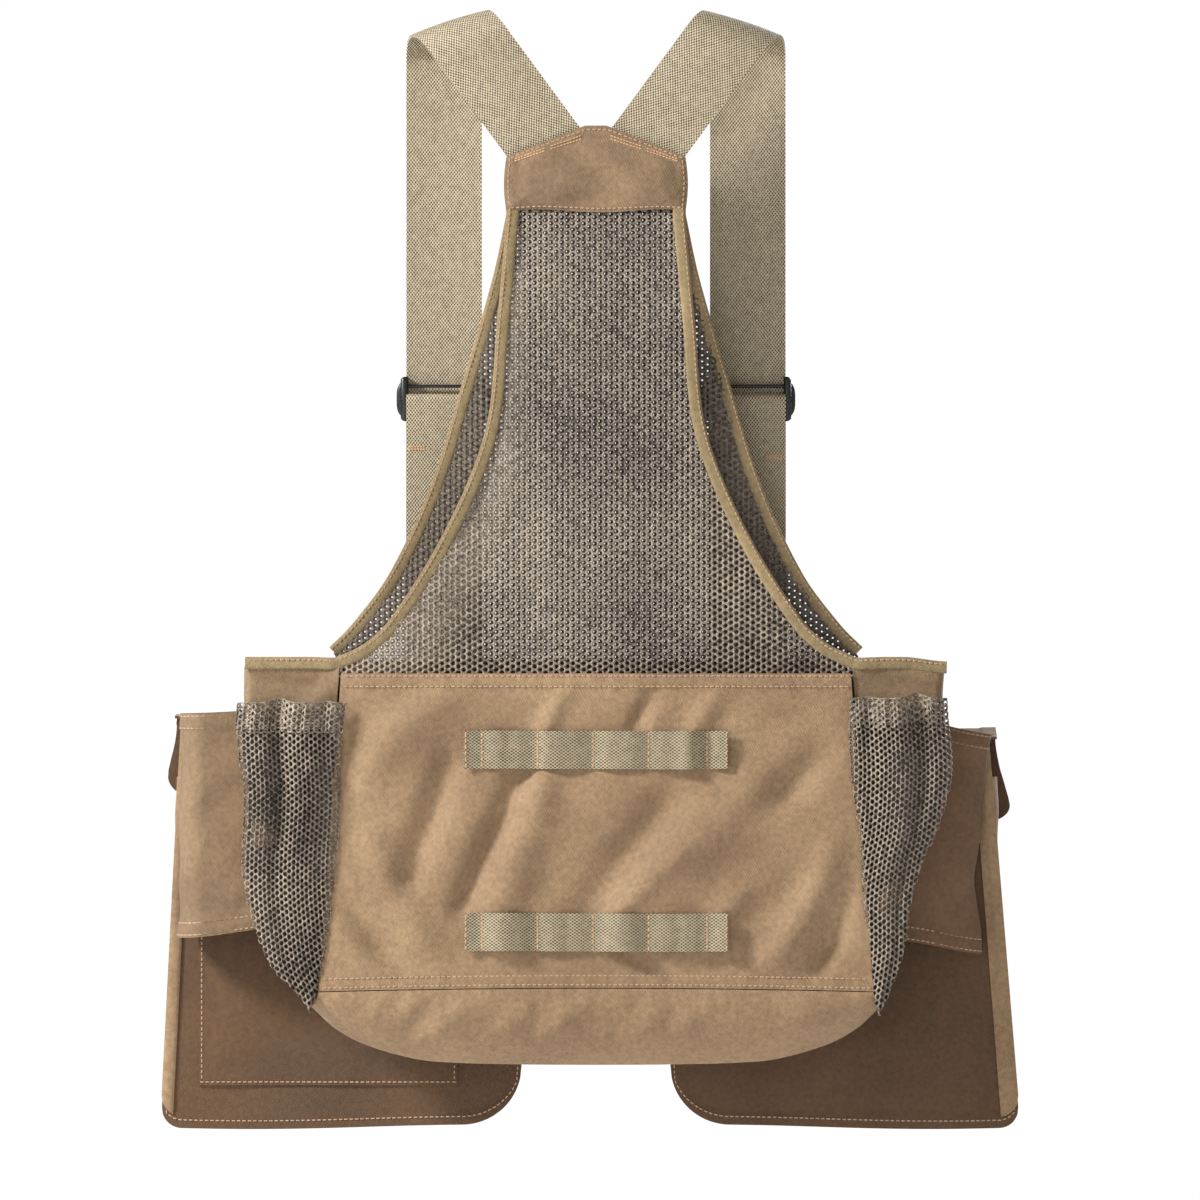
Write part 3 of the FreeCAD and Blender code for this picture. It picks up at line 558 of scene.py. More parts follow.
binding_rows = []
for name, side in SIDES:
    wing_low_corner, wing_high_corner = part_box(f"wing_binding_{name}")
    wing_end = max(abs(wing_low_corner.x), abs(wing_high_corner.x))
    wing_mid = (wing_low_corner.z + wing_high_corner.z) / 2
    heights = [spread(BINDING_TOP, 0.3125, i / 150) for i in range(151)]
    route = []
    for height in heights:
        z = hem_line + height
        face = outer_net_face(0, z)
        route.append(Vector((side * between(OUTER_EDGE, height), spread(face.y, outer_low.y, 0.1), z)))
    drop = 0.003 if side > 0 else 0.0
    for i in range(1, 25):
        share = i / 24
        z = spread(route[150].z, wing_mid, ease(share * 3)) - drop * ease((share - 0.5) * 2)
        route.append(Vector((side * spread(0.174, wing_end, share), outer_low.y + 0.0015 * share, z)))
    route = even_path(route, 150)
    strip = folded_strip(f"outer_edge_binding_{name}", route, wave=0.0007)
    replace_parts(strip, f"outer_binding_{name}", f"wing_binding_{name}")
    binding_rows.append((stitch_line(route, side), BACKWARD))
    heights = [spread(BINDING_TOP, 0.3205, i / 150) for i in range(151)]
    route = [Vector((side * between(INNER_EDGE, height), (inner_low.y + inner_high.y) / 2,
                     hem_line + height)) for height in heights]
    route = even_path(route, 130)
    strip = folded_strip(f"inner_edge_binding_{name}", route, wave=0.0006)
    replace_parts(strip, f"inner_binding_{name}")
    binding_rows.append((stitch_line(route, side), BACKWARD))
stitch_rows("binding_stitching", binding_rows, seam_thread)

# ---- Bag: back panel, bottom, inner panel ----
# The back panel is one layer of waxed cotton with a turned hem at the top and a felled seam at the
# bottom, both sewn twice; the bottom panel curves forward under the load to meet the inner panel.
bag_low, bag_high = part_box("bag_back_panel")
bag_tall, bag_top_half, bag_seam_half = bag_high.z - bag_low.z, 0.170, bag_high.x
BAG_HEM, HEM_STEP, FLOOR_HALF = 0.0095, 0.0012, 0.190


def creases(x, height, folds):
    """The sum of soft ridges and valleys, each (x, height, x, height, half-width, rise) in mm."""
    total = 0.0
    for x0, h0, x1, h1, half, rise in folds:
        long = math.hypot(x1 - x0, h1 - h0)
        along = ((x * 1000 - x0) * (x1 - x0) + (height * 1000 - h0) * (h1 - h0)) / long ** 2
        away = abs((x * 1000 - x0) * (h1 - h0) - (height * 1000 - h0) * (x1 - x0)) / long
        past = max(-along, along - 1, 0) * long
        total += rise * math.exp(-(away / half) ** 2 - (past / half / 1.6) ** 2)
    return total / 1000


BAG_FOLDS = ((-103, 293, -164, 235, 17, 2.4), (-99, 242, -123, 174, 11, -2.4), (-51, 235, -87, 154, 9, -2.6),
             (-38, 222, -60, 156, 14, 1.8), (43, 213, 3, 163, 13, -2.2), (52, 183, 16, 150, 10, 1.7),
             (174, 163, 147, 107, 9, -2.8), (161, 183, 123, 118, 13, 2.6), (153, 249, 129, 229, 12, -1.9),
             (83, 296, 63, 263, 8, 1.6), (39, 296, 28, 274, 6, -1.5), (-20, 296, -31, 276, 7, 1.3),
             (-171, 152, -132, 111, 10, -2.2), (-150, 190, -120, 140, 12, 1.5), (105, 228, 70, 190, 14, 1.6),
             (-60, 118, -30, 100, 8, 1.2), (20, 120, 45, 100, 8, -1.2), (90, 150, 60, 118, 9, 1.3))


def bag_face(u, v):
    """The bag's back: full in the middle, flat at its hems, creased where it is handled."""
    half = spread(bag_seam_half, bag_top_half, v)
    x = spread(-half, half, u)
    z = spread(bag_low.z + 0.0025 * (1 - (2 * u - 1) ** 2) - 0.001, bag_high.z, v)
    full = math.sin(math.pi * u) ** 0.7 * math.sin(math.pi * (0.12 + 0.76 * v))
    free = ease(min(v, 1 - v) * 7) * ease(min(u, 1 - u) * 9)
    folds = (1.5 * ripple(x, z, 0.13, 0.035, -0.75, 2.3) + 1.1 * ripple(x, z, 0.10, 0.022, 0.55, 9.1)
             + 0.7 * ripple(x, z, 0.045, 0.018, -0.3, 5.7) + 0.9 * ripple(x, z, 0.08, 0.05, 1.3, 14.2))
    edge = min(bag_high.z - z, z - bag_low.z)
    hem = ease((BAG_HEM - edge) / HEM_STEP)
    pucker = 0.0005 * ripple(x, z, 0.006, 0.05, 0, 17.3) * ease((0.016 - edge) / 0.01)
    push = 2.8 * creases(x, z - hem_line, BAG_FOLDS) * free
    return Vector((x, bag_low.y - 0.0045 * full - 0.0016 * folds * free - push - 0.0007 * hem - pucker, z))


bag_panel = sewn_cloth("bag_back", 150, 96, bag_face, CLOTH_THICK, tan_cotton)
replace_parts(bag_panel, "bag_back_panel")
BAG_FLOOR = ((FLOOR_HALF, 0.083), (0.175, 0.069), (0.155, 0.058), (0.121, 0.0482), (0.095, 0.0457),
             (0.05, 0.0445), (0.0, 0.0442))
tray_low, tray_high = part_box("bag_bottom_panel")


def bag_bottom_face(u, v):
    """The bag's floor turns under from the lower seam to the inner panel."""
    top = bag_face(u, 0)
    x = spread(-FLOOR_HALF, FLOOR_HALF, u)
    foot = Vector((x, tray_high.y, hem_line + between(BAG_FLOOR, abs(x))))
    forward = (1 - v) ** 2.4
    wide = 1 - (1 - v) ** 1.5
    swell = math.sin(math.pi * v ** 0.8) * (0.2 + 0.8 * math.sin(math.pi * u) ** 0.5)
    crease = ripple(top.x, foot.z * 2 + v * 0.05, 0.05, 0.02, 0.9, 6.6) * math.sin(math.pi * v)
    y = spread(top.y, foot.y, forward) - 0.004 * swell - 0.0045 * crease
    return Vector((spread(foot.x, top.x, wide), y, spread(foot.z, top.z - 0.0006, v)))


bag_bottom = sewn_cloth("bag_bottom", 150, 24, bag_bottom_face, CLOTH_THICK, tan_cotton)
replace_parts(bag_bottom, "bag_bottom_panel")
bag_inner_low, bag_inner_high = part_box("bag_inner_panel")
# A darker copy of the cloth with painted shade, for faces that lie inside the vest or under other parts: the
# front panels' and hip panels' inner faces, the bag's inner panel, the inside patch and the flaps'
# undersides.
inside_shade_cotton = waxed_cotton("waxed_cotton_inside_painted_shade", ("#4A3420", "#5D4228", "#785A3A"))


def bag_inner_face(u, v):
    """The bag's inner side, a little slack."""
    x = spread(bag_inner_high.x, bag_inner_low.x, u)
    foot = hem_line + between(BAG_FLOOR, abs(x)) + 0.001
    z = spread(foot, bag_inner_high.z + 0.008, v)
    folds = ripple(x, z, 0.12, 0.04, 0.5, 21) + 0.6 * ripple(x, z, 0.07, 0.03, -0.6, 25)
    return Vector((x, bag_inner_high.y + 0.0012 * folds * ease(min(u, 1 - u, v, 1 - v) * 6), z))


bag_inner = sewn_cloth("bag_inner", 90, 60, bag_inner_face, CLOTH_THICK, inside_shade_cotton)
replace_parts(bag_inner, "bag_inner_panel")
bag_rows = []
for v in (1 - 0.0016 / bag_tall, 1 - 0.0086 / bag_tall, 0.0022 / bag_tall, 0.0082 / bag_tall):
    bag_rows.append((seam(bag_face, [(0.006, v), (0.994, v)], 140), BACKWARD))
stitch_rows("bag_stitching", bag_rows, seam_thread)

# ---- Side gussets: the wings ----
# A folded bellows of cotton on each side lets the bag swell; its top shows as a wing under the binding.
WING_CREASES = {"left": ((-232, 302, -186, 297, 7, -3.2), (-190, 284, -172, 303, 6, 2.6)),
                "right": ((234, 292, 186, 300, 7, -3.0), (178, 300, 200, 288, 6, 2.2))}
WING_FOLD = {"left": ((0.320, 0.2345), (0.286, 0.2350), (0.226, 0.2325), (0.183, 0.2325), (0.156, 0.229),
                      (0.124, 0.219), (0.107, 0.210), (0.093, 0.198), (0.082, 0.191)),
             "right": ((0.320, 0.2335), (0.284, 0.2315), (0.246, 0.2340), (0.226, 0.2310), (0.200, 0.223),
                       (0.183, 0.215), (0.156, 0.207), (0.119, 0.201), (0.093, 0.193), (0.080, 0.189))}
for name, side in SIDES:
    gusset_low, gusset_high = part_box(f"bag_gusset_{name}")

    def gusset_face(u, v):
        """Out along the back layer to the fold, and back along the front layer."""
        t = u if side > 0 else 1 - u
        z = spread(gusset_low.z - 0.004, gusset_high.z + 0.004, v)
        inner = spread(bag_seam_half + 0.0015, bag_top_half + 0.0015, share_of(bag_low.z, bag_high.z, z))
        fold = max(between(WING_FOLD[name], z - hem_line), inner + 0.004)
        out = 1 - abs(2 * t - 1)
        x = spread(inner, fold, math.sin(out * math.pi / 2) ** 0.9)
        y = spread(gusset_low.y - 0.0002, gusset_high.y, ease((t - 0.36) / 0.28))
        folds = ripple(x * side, z, 0.05, 0.02, 0.7 * side, 31 + side) * ease(out * 4) * ease((1 - v) * 9)
        back = 1 if t < 0.5 else -1
        push = creases(side * x, z - hem_line, WING_CREASES[name]) if back > 0 else 0
        return Vector((side * x, y - back * 0.0034 * folds - push, z))

    # The wings take the darker copy of the cloth, painted with the shade that lies under the binding.
    wing = sewn_cloth(f"wing_{name}", 56, 60, gusset_face, CLOTH_THICK, shade_copy_cotton)
    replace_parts(wing, f"bag_gusset_{name}")

# ---- Loop webbing: two rows across the bag ----
# One-inch nylon webbing, coarse and flat, tacked down every 38 mm so that each gap is a gear loop.


def woven_webbing(name, colours, pitch):
    """Woven nylon webbing: bright round yarns in plain weave, with painted shade in the gaps between them."""
    # The first colour is painted shade in the gaps of the weave.
    gap, yarn = (linear(colour) for colour in colours)
    web, place = new_material(name)
    along = add_node(web, "ShaderNodeTexCoord", {}).outputs["UV"]
    waves = []
    for direction, spacing in zip("XY", pitch):
        wave = add_node(web, "ShaderNodeTexWave",
                        {"bands_direction": direction, "Scale": math.tau / 20 / spacing}, {"Vector": along})
        waves.append(add_node(web, "ShaderNodeMath", {"operation": "MULTIPLY_ADD", 1: 2, 2: -1},
                              {0: wave.outputs["Fac"]}))
    dots = add_node(web, "ShaderNodeMath", {"operation": "MULTIPLY"},
                    {0: waves[0].outputs[0], 1: waves[1].outputs[0]})
    uneven = add_node(web, "ShaderNodeTexNoise", {"Scale": 260, "Detail": 2}, {"Vector": place})
    both = add_node(web, "ShaderNodeMath", {"operation": "MULTIPLY_ADD", 1: 0.7},
                    {0: uneven.outputs["Fac"], 2: dots.outputs[0]})
    tone = add_node(web, "ShaderNodeMapRange", {1: -0.40, 2: 0.85, 3: 0.0, 4: 1.0}, {0: both.outputs[0]})
    mixed = add_node(web, "ShaderNodeMix", {"data_type": "RGBA", 6: gap, 7: yarn}, {0: tone.outputs[0]})
    bump = add_node(web, "ShaderNodeBump", {"Strength": 0.6, "Distance": 0.0005},
                    {"Height": tone.outputs[0]})
    return feed(web, {"Base Color": mixed.outputs[2], "Normal": bump.outputs[0]},
                {"Roughness": 0.6, "Sheen Weight": 0.1})


def bag_point(x, z):
    """The bag's face at a given x and z."""
    v = share_of(bag_low.z, bag_high.z, z)
    half = spread(bag_seam_half, bag_top_half, v)
    return bag_face((x + half) / (2 * half), v)


loop_weave = woven_webbing("woven_webbing_loop", ("#2E2616", "#AE9F80"), (0.0029, 0.0021))
TACKS = (-0.076, -0.039, -0.002, 0.035, 0.074)
tack_rows = []
for name in ("upper", "lower"):
    row_low, row_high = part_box(f"loop_webbing_{name}")

    def loop_face(u, v):
        """The webbing lies on the bag at its tacks and stands off between them."""
        x = spread(row_low.x, row_high.x, u)
        z = spread(row_low.z, row_high.z, v) + 0.0006 * ripple(x, 0, 0.05, 0.05, 0, 8 + row_low.z)
        outer = min(bag_point(x, spread(row_low.z, row_high.z, i / 4)).y for i in range(5))
        nearest = min(abs(x - tack) for tack in TACKS)
        return Vector((x, outer - 0.0004 - 0.0024 * ease(nearest / 0.014) ** 0.7 - 0.0008, z))

    row_long, row_tall = row_high.x - row_low.x, row_high.z - row_low.z
    band = sewn_cloth(f"loop_row_{name}", 120, 10, loop_face, 0.0012, loop_weave,
                      size=(row_long, row_tall))
    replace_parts(band, f"loop_webbing_{name}")
    for tack in TACKS + (row_low.x + 0.0012, row_high.x - 0.0012):
        u = (tack - row_low.x) / row_long
        tack_rows.append((seam(loop_face, [(u, 0.02), (u, 0.98)], 16), BACKWARD))
stitch_rows("loop_tacks", tack_rows, tack_thread, pitch=0.0040, length=0.0032, width=0.0009)

# ---- Mesh side pockets ----
# The same net, cut wider than the wing it is sewn to, so that it stands off in soft upright folds.
# The top edge is turned down twice and puckers along its elastic; both layers of net show there.
POCKETS = {
    "left": (((0.286, 0.1670), (0.255, 0.1700), (0.211, 0.1710), (0.156, 0.1760), (0.131, 0.179),
              (0.097, 0.185), (0.082, 0.190)),
             ((0.286, 0.2385), (0.270, 0.2400), (0.226, 0.2350), (0.183, 0.2360), (0.156, 0.233),
              (0.124, 0.223), (0.107, 0.214), (0.093, 0.200), (0.082, 0.192)), 0.62),
    "right": (((0.289, 0.1690), (0.241, 0.1700), (0.197, 0.1760), (0.156, 0.1780), (0.122, 0.183),
               (0.088, 0.1855), (0.080, 0.188)),
              ((0.284, 0.2340), (0.246, 0.2380), (0.226, 0.2350), (0.200, 0.2270), (0.183, 0.219),
               (0.156, 0.211), (0.119, 0.205), (0.093, 0.196), (0.080, 0.190)), 0.68)}
FULLNESS, POCKET_CUT = 1.3, 0.100
wing_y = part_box("bag_gusset_left")[0].y
for name, side in SIDES:
    pocket_in, pocket_out, valley = POCKETS[name]
    pocket_low, pocket_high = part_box(f"mesh_pocket_{name}")
    elastic_low, elastic_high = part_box(f"pocket_elastic_{name}")
    foot, rim = pocket_in[-1][0], pocket_in[0][0]

    def pouch(share, height, stand_off=0.0, pucker=0.0):
        """The gathered net: a share across and a height up."""
        inner, outer = between(pocket_in, height), between(pocket_out, height)
        level = ease((height - foot) / (rim - foot) * 1.2)
        depth = spread(0.004, 0.0150, level) * math.sin(math.pi * min(max(share, 0.02), 0.98)) ** 0.55
        fold = math.exp(-((share - valley - 0.05 * (1 - level)) / 0.10) ** 2) * spread(0.3, 0.8, level)
        fold += math.exp(-((share - 0.17) / 0.07) ** 2) * 0.28 * level
        slack = 0.0035 * ripple(share * 0.08 * side, height, 0.09, 0.022, 1.15, 40 + side) * level
        slack += 0.0016 * ripple(share * 0.08, height, 0.05, 0.012, 0.8 * side, 47) * level
        ruffle = pucker * math.sin(math.tau * (5.5 * share + 0.9 * noise.noise(Vector((share * 5, 3, 0)))))
        x = side * spread(inner, outer, share) + ruffle * 0.5
        z = hem_line + height + 0.004 * fold * ease((height - 0.26) / 0.03)
        return Vector((x, wing_y - 0.0016 - depth * (1 - fold) - slack - stand_off + ruffle, z))

    def flat_share(a, height):
        """Where a point of the flat cut ends up across the gathered pouch."""
        width = between(pocket_out, height) - between(pocket_in, height)
        share = (a - POCKET_CUT / 2) / (FULLNESS * width) + 0.5
        return share if side > 0 else 1 - share

    def within_cut(a, height):
        return -0.015 < flat_share(a, height) < 1.015

    def net_place(stand_off=0.0, pucker=0.0):
        return lambda a, b: pouch(min(max(flat_share(a, b), 0.0), 1.0), min(b, rim), stand_off, pucker)

    def shade_net_place(a, b):
        share = min(max(flat_share(a, b), 0.0), 1.0)
        x = spread(between(pocket_in, b), between(pocket_out, b), spread(0.02, 0.96, share))
        return Vector((side * x, wing_y - 0.0012, hem_line + b))

    body_net = knit_net(f"pocket_net_{name}", (0, foot), (POCKET_CUT, rim - 0.004), within_cut,
                        net_place(), POCKET_YARN)
    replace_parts(body_net, f"mesh_pocket_{name}")
    hem_net = knit_net(f"pocket_hem_{name}", (0, rim - 0.017), (POCKET_CUT, rim), within_cut,
                       net_place(0.0018, 0.0012), NET_YARN)
    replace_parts(hem_net, f"pocket_elastic_{name}")
    # A dark net laid against the wing inside the pocket paints the shade seen through the holes.
    knit_net(f"pocket_shade_net_{name}", (0, foot), (POCKET_CUT, rim - 0.008),
             lambda a, b: 0.0 < flat_share(a, b) < 1.0, shade_net_place, POCKET_SHADE_YARN, material=pocket_shade_yarn)

# ---- Shoulder straps ----
# Two-inch webbing, caught between the yoke's two layers, folded flat over the shoulder so that it
# turns from the slanting back leg to the upright front leg, and sewn to the front panel at its foot.
STRAP_WIDE, STRAP_THICK, STRAP_TUCK, FORWARD = 0.0508, 0.0018, 0.007, (0, 1, 0)
STRAP_X, STRAP_ROOT_X, STRAP_ROOT_HEIGHT, STRAP_FOOT_HEIGHT = 0.102, 0.035, 0.661, 0.270
BACK_LEG_Y, FRONT_LEG_Y, strap_lean = -0.0273, 0.0127, math.radians(36.4)
half_lean, fold_radius = strap_lean / 2, (FRONT_LEG_Y - BACK_LEG_Y) / 2
strap_weave = woven_webbing("woven_webbing_strap", ("#2A1E10", "#C8B899"), (0.0021, 0.0027))
arch_long = math.pi * fold_radius
arch_x = STRAP_X - arch_long * math.tan(half_lean) * math.cos(half_lean)
arch_height = STRAP_ROOT_HEIGHT + (arch_x - STRAP_ROOT_X) / math.tan(strap_lean)
root_step = -(arch_x - STRAP_ROOT_X) / math.sin(strap_lean) * math.cos(half_lean) - STRAP_TUCK
front_height = arch_height - arch_long * math.tan(half_lean) * math.sin(half_lean)
foot_step = arch_long + (front_height - STRAP_FOOT_HEIGHT) * math.cos(half_lean)
for name, side in SIDES:
    def strap_face(u, v):
        """Down the back leg, over the shoulder fold and down the front leg."""
        along_fold = Vector((-side * math.cos(half_lean), 0, math.sin(half_lean)))
        up_band = Vector((side * math.sin(half_lean), 0, math.cos(half_lean)))
        step = spread(root_step, foot_step, v)
        if step <= 0:
            rise, out, normal = step, -fold_radius, Vector(BACKWARD)
        elif step >= arch_long:
            rise, out, normal = arch_long - step, fold_radius, Vector(FORWARD)
        else:
            turn = step / fold_radius
            rise, out = fold_radius * math.sin(turn), -fold_radius * math.cos(turn)
            normal = up_band * math.sin(turn) - Vector((0, math.cos(turn), 0))
        reach = -side * (2 * u - 1) * STRAP_WIDE / 2 / math.cos(half_lean)
        middle = Vector((side * arch_x, (BACK_LEG_Y + FRONT_LEG_Y) / 2, hem_line + arch_height))
        middle += up_band * rise + Vector((0, out, 0)) + along_fold * (reach - math.tan(half_lean) * step)
        held = ease(min(v, 1 - v) * 8)
        cup = 0.0012 * (1 - (2 * u - 1) ** 2) * held
        wave = 0.0014 * ripple(u * 0.03, step, 0.12, 0.08, 0.3, 60 + side) * held
        return middle + normal * (STRAP_THICK / 2 + cup + wave)

    strap_long = (foot_step - root_step) / math.cos(half_lean)
    strap = sewn_cloth(f"strap_{name}", 18, 190, strap_face, STRAP_THICK, strap_weave,
                       size=(STRAP_WIDE, strap_long), skew=side * math.tan(half_lean))
    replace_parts(strap, f"shoulder_strap_{name}")

# ---- Strap adjusters, with the webbing end looped over each bar ----
# A moulded acetal frame with a bar across its back; the strap's other end is folded round the bar,
# turned down behind itself and bar-tacked, and runs on to the front panel.


def moulded_acetal(name, colour):
    """Black moulded acetal: a fine matt texture from the mould, with a soft sheen on its edges."""
    plastic, place = new_material(name)
    grain = add_node(plastic, "ShaderNodeTexNoise", {"Scale": 1600, "Detail": 2}, {"Vector": place})
    scuff = add_node(plastic, "ShaderNodeTexNoise", {"Scale": 60, "Detail": 3}, {"Vector": place})
    rough = add_node(plastic, "ShaderNodeMapRange", {1: 0.3, 2: 0.7, 3: 0.32, 4: 0.5},
                     {0: scuff.outputs["Fac"]})
    bump = add_node(plastic, "ShaderNodeBump", {"Strength": 0.15, "Distance": 0.0002},
                    {"Height": grain.outputs["Fac"]})
    return feed(plastic, {"Roughness": rough.outputs[0], "Normal": bump.outputs[0]},
                {"Base Color": linear(colour)})


black_acetal = moulded_acetal("moulded_acetal_black", "#161618")


def moulded_block(name, centre, size, bevel, material, body):
    """A rounded block of moulded plastic."""
    block = primitive(name, "cube", size=1)
    for corner in block.data.vertices:
        corner.co = Vector(centre) + Vector(c * s for c, s in zip(corner.co, size))
    applied(block, "BEVEL", width=bevel, segments=3)
    bpy.ops.object.shade_smooth_by_angle(angle=math.radians(40))
    return handed_over(block, material, body)


def joined(main, others):
    """One object made of several: the first one's name and body are kept."""
    bpy.ops.object.select_all(action="DESELECT")
    for thing in others + [main]:
        thing.select_set(True)
    bpy.context.view_layer.objects.active = main
    bpy.ops.object.join()
    return main


tail_radius, RING_EDGE, RING_DEEP = 0.0026, 0.0027, 0.0016
for name, side in SIDES:
    tail_low, tail_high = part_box(f"adjuster_webbing_{name}")
    frame_low, frame_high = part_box(f"strap_adjuster_{name}")
    ring_centre = (frame_low + frame_high) / 2
    bar_y, bar_z = tail_low.y + tail_radius + STRAP_THICK / 2, ring_centre.z
    ring = primitive(f"adjuster_ring_{name}", "torus", major_segments=96, minor_segments=14,
                     major_radius=2, minor_radius=1)
    half_wide = (frame_high.x - frame_low.x) / 2 - RING_EDGE
    half_tall = (frame_high.z - frame_low.z) / 2 - RING_EDGE
    for vertex in ring.data.vertices:
        turn = math.atan2(vertex.co.y, vertex.co.x)
        reach = math.hypot(vertex.co.x, vertex.co.y) - 2
        outline_x = math.copysign(abs(math.cos(turn)) ** 0.5, math.cos(turn))
        outline_z = math.copysign(abs(math.sin(turn)) ** 0.5, math.sin(turn))
        vertex.co = Vector((ring_centre.x + outline_x * half_wide + math.cos(turn) * reach * RING_EDGE,
                            frame_high.y - RING_DEEP + vertex.co.z * RING_DEEP,
                            ring_centre.z + outline_z * half_tall + math.sin(turn) * reach * RING_EDGE))
    closed(ring.data, 0)
    bpy.ops.object.shade_smooth()
    handed_over(ring, black_acetal, f"adjuster_{name}")
    rail_size = (0.005, frame_high.y - frame_low.y - 0.003, 0.030)
    rails = [moulded_block(f"adjuster_rail_{name}_{way}",
                           (ring_centre.x + way * (half_wide - 0.0002), ring_centre.y - 0.001, ring_centre.z),
                           rail_size, 0.0020, black_acetal, f"adjuster_{name}") for way in (-1, 1)]
    for way, rail in zip((-1, 1), rails):
        for vertex in rail.data.vertices:
            vertex.co.x -= way * 0.0034 * (abs(vertex.co.z - ring_centre.z) / rail_size[2] * 2) ** 2.2
    bars = []
    for radius, y, z in ((0.0015, bar_y, bar_z), (0.0011, frame_low.y + 0.0044, bar_z + 0.0086)):
        bar = primitive("adjuster_bar", "cylinder", vertices=24, radius=radius, depth=2 * half_wide)
        for vertex in bar.data.vertices:
            vertex.co = Vector((ring_centre.x + vertex.co.z, y + vertex.co.x, z + vertex.co.y))
        bpy.ops.object.shade_smooth_by_angle(angle=math.radians(40))
        bars.append(handed_over(bar, black_acetal, f"adjuster_{name}"))
    joined(ring, rails + bars)
    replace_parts(ring, f"strap_adjuster_{name}")
    front_leg, loop_long = bar_z - tail_low.z, math.pi * tail_radius
    short_leg = 0.035
    tail_long = front_leg + loop_long + short_leg

    def tail_face(u, v):
        """Up the front, round the bar and a short way down behind."""
        x = spread(tail_low.x, tail_high.x, u)
        step = v * tail_long
        skin = STRAP_THICK / 2
        sway = 0.0010 * ripple(x, step, 0.1, 0.06, 0.4, 70 + side) * ease((front_leg - step) / 0.05)
        if step < front_leg:
            return Vector((x, bar_y - tail_radius - skin - sway, tail_low.z + step))
        if step > front_leg + loop_long:
            return Vector((x, bar_y + tail_radius + skin, bar_z - (step - front_leg - loop_long)))
        turn = (step - front_leg) / tail_radius
        reach = tail_radius + skin
        return Vector((x, bar_y - reach * math.cos(turn), bar_z + reach * math.sin(turn)))

    tail = sewn_cloth(f"adjuster_tail_{name}", 18, 150, tail_face, STRAP_THICK, strap_weave,
                      body=f"adjuster_{name}", size=(STRAP_WIDE, tail_long))
    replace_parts(tail, f"adjuster_webbing_{name}")
    tack_level = {"left": 0.457, "right": 0.451}[name] + hem_line - tail_low.z
    tack_rows = []
    for start, end in ((0.03, 0.27), (0.73, 0.97)):
        for rise in (-0.0008, 0.0008):
            v = (tack_level + rise) / tail_long
            tack_rows.append((seam(tail_face, [(start, v), (end, v)], 12), BACKWARD))
    stitch_rows(f"adjuster_tacks_{name}", tack_rows, tack_thread,
                body=f"adjuster_{name}", pitch=0.0019, length=0.0019, width=0.0012)

# ---- Side panels, round the hips ----
# One piece of waxed cotton on each side, hemmed top and bottom with two rows, running from the bag's
# seam round the hip to the front panel. It hangs free, so it dips a little between its ends.
SIDE_TOP = {"left": (0.282, 0.279), "right": (0.276, 0.264)}
SIDE_FOOT = {"left": (0.137, 0.129), "right": (0.127, 0.117)}
HIP_EDGE = {"left": ((0.282, 0.2780), (0.220, 0.2790), (0.120, 0.2800)),
            "right": ((0.272, 0.2660), (0.257, 0.2640), (0.181, 0.2570), (0.117, 0.2580))}
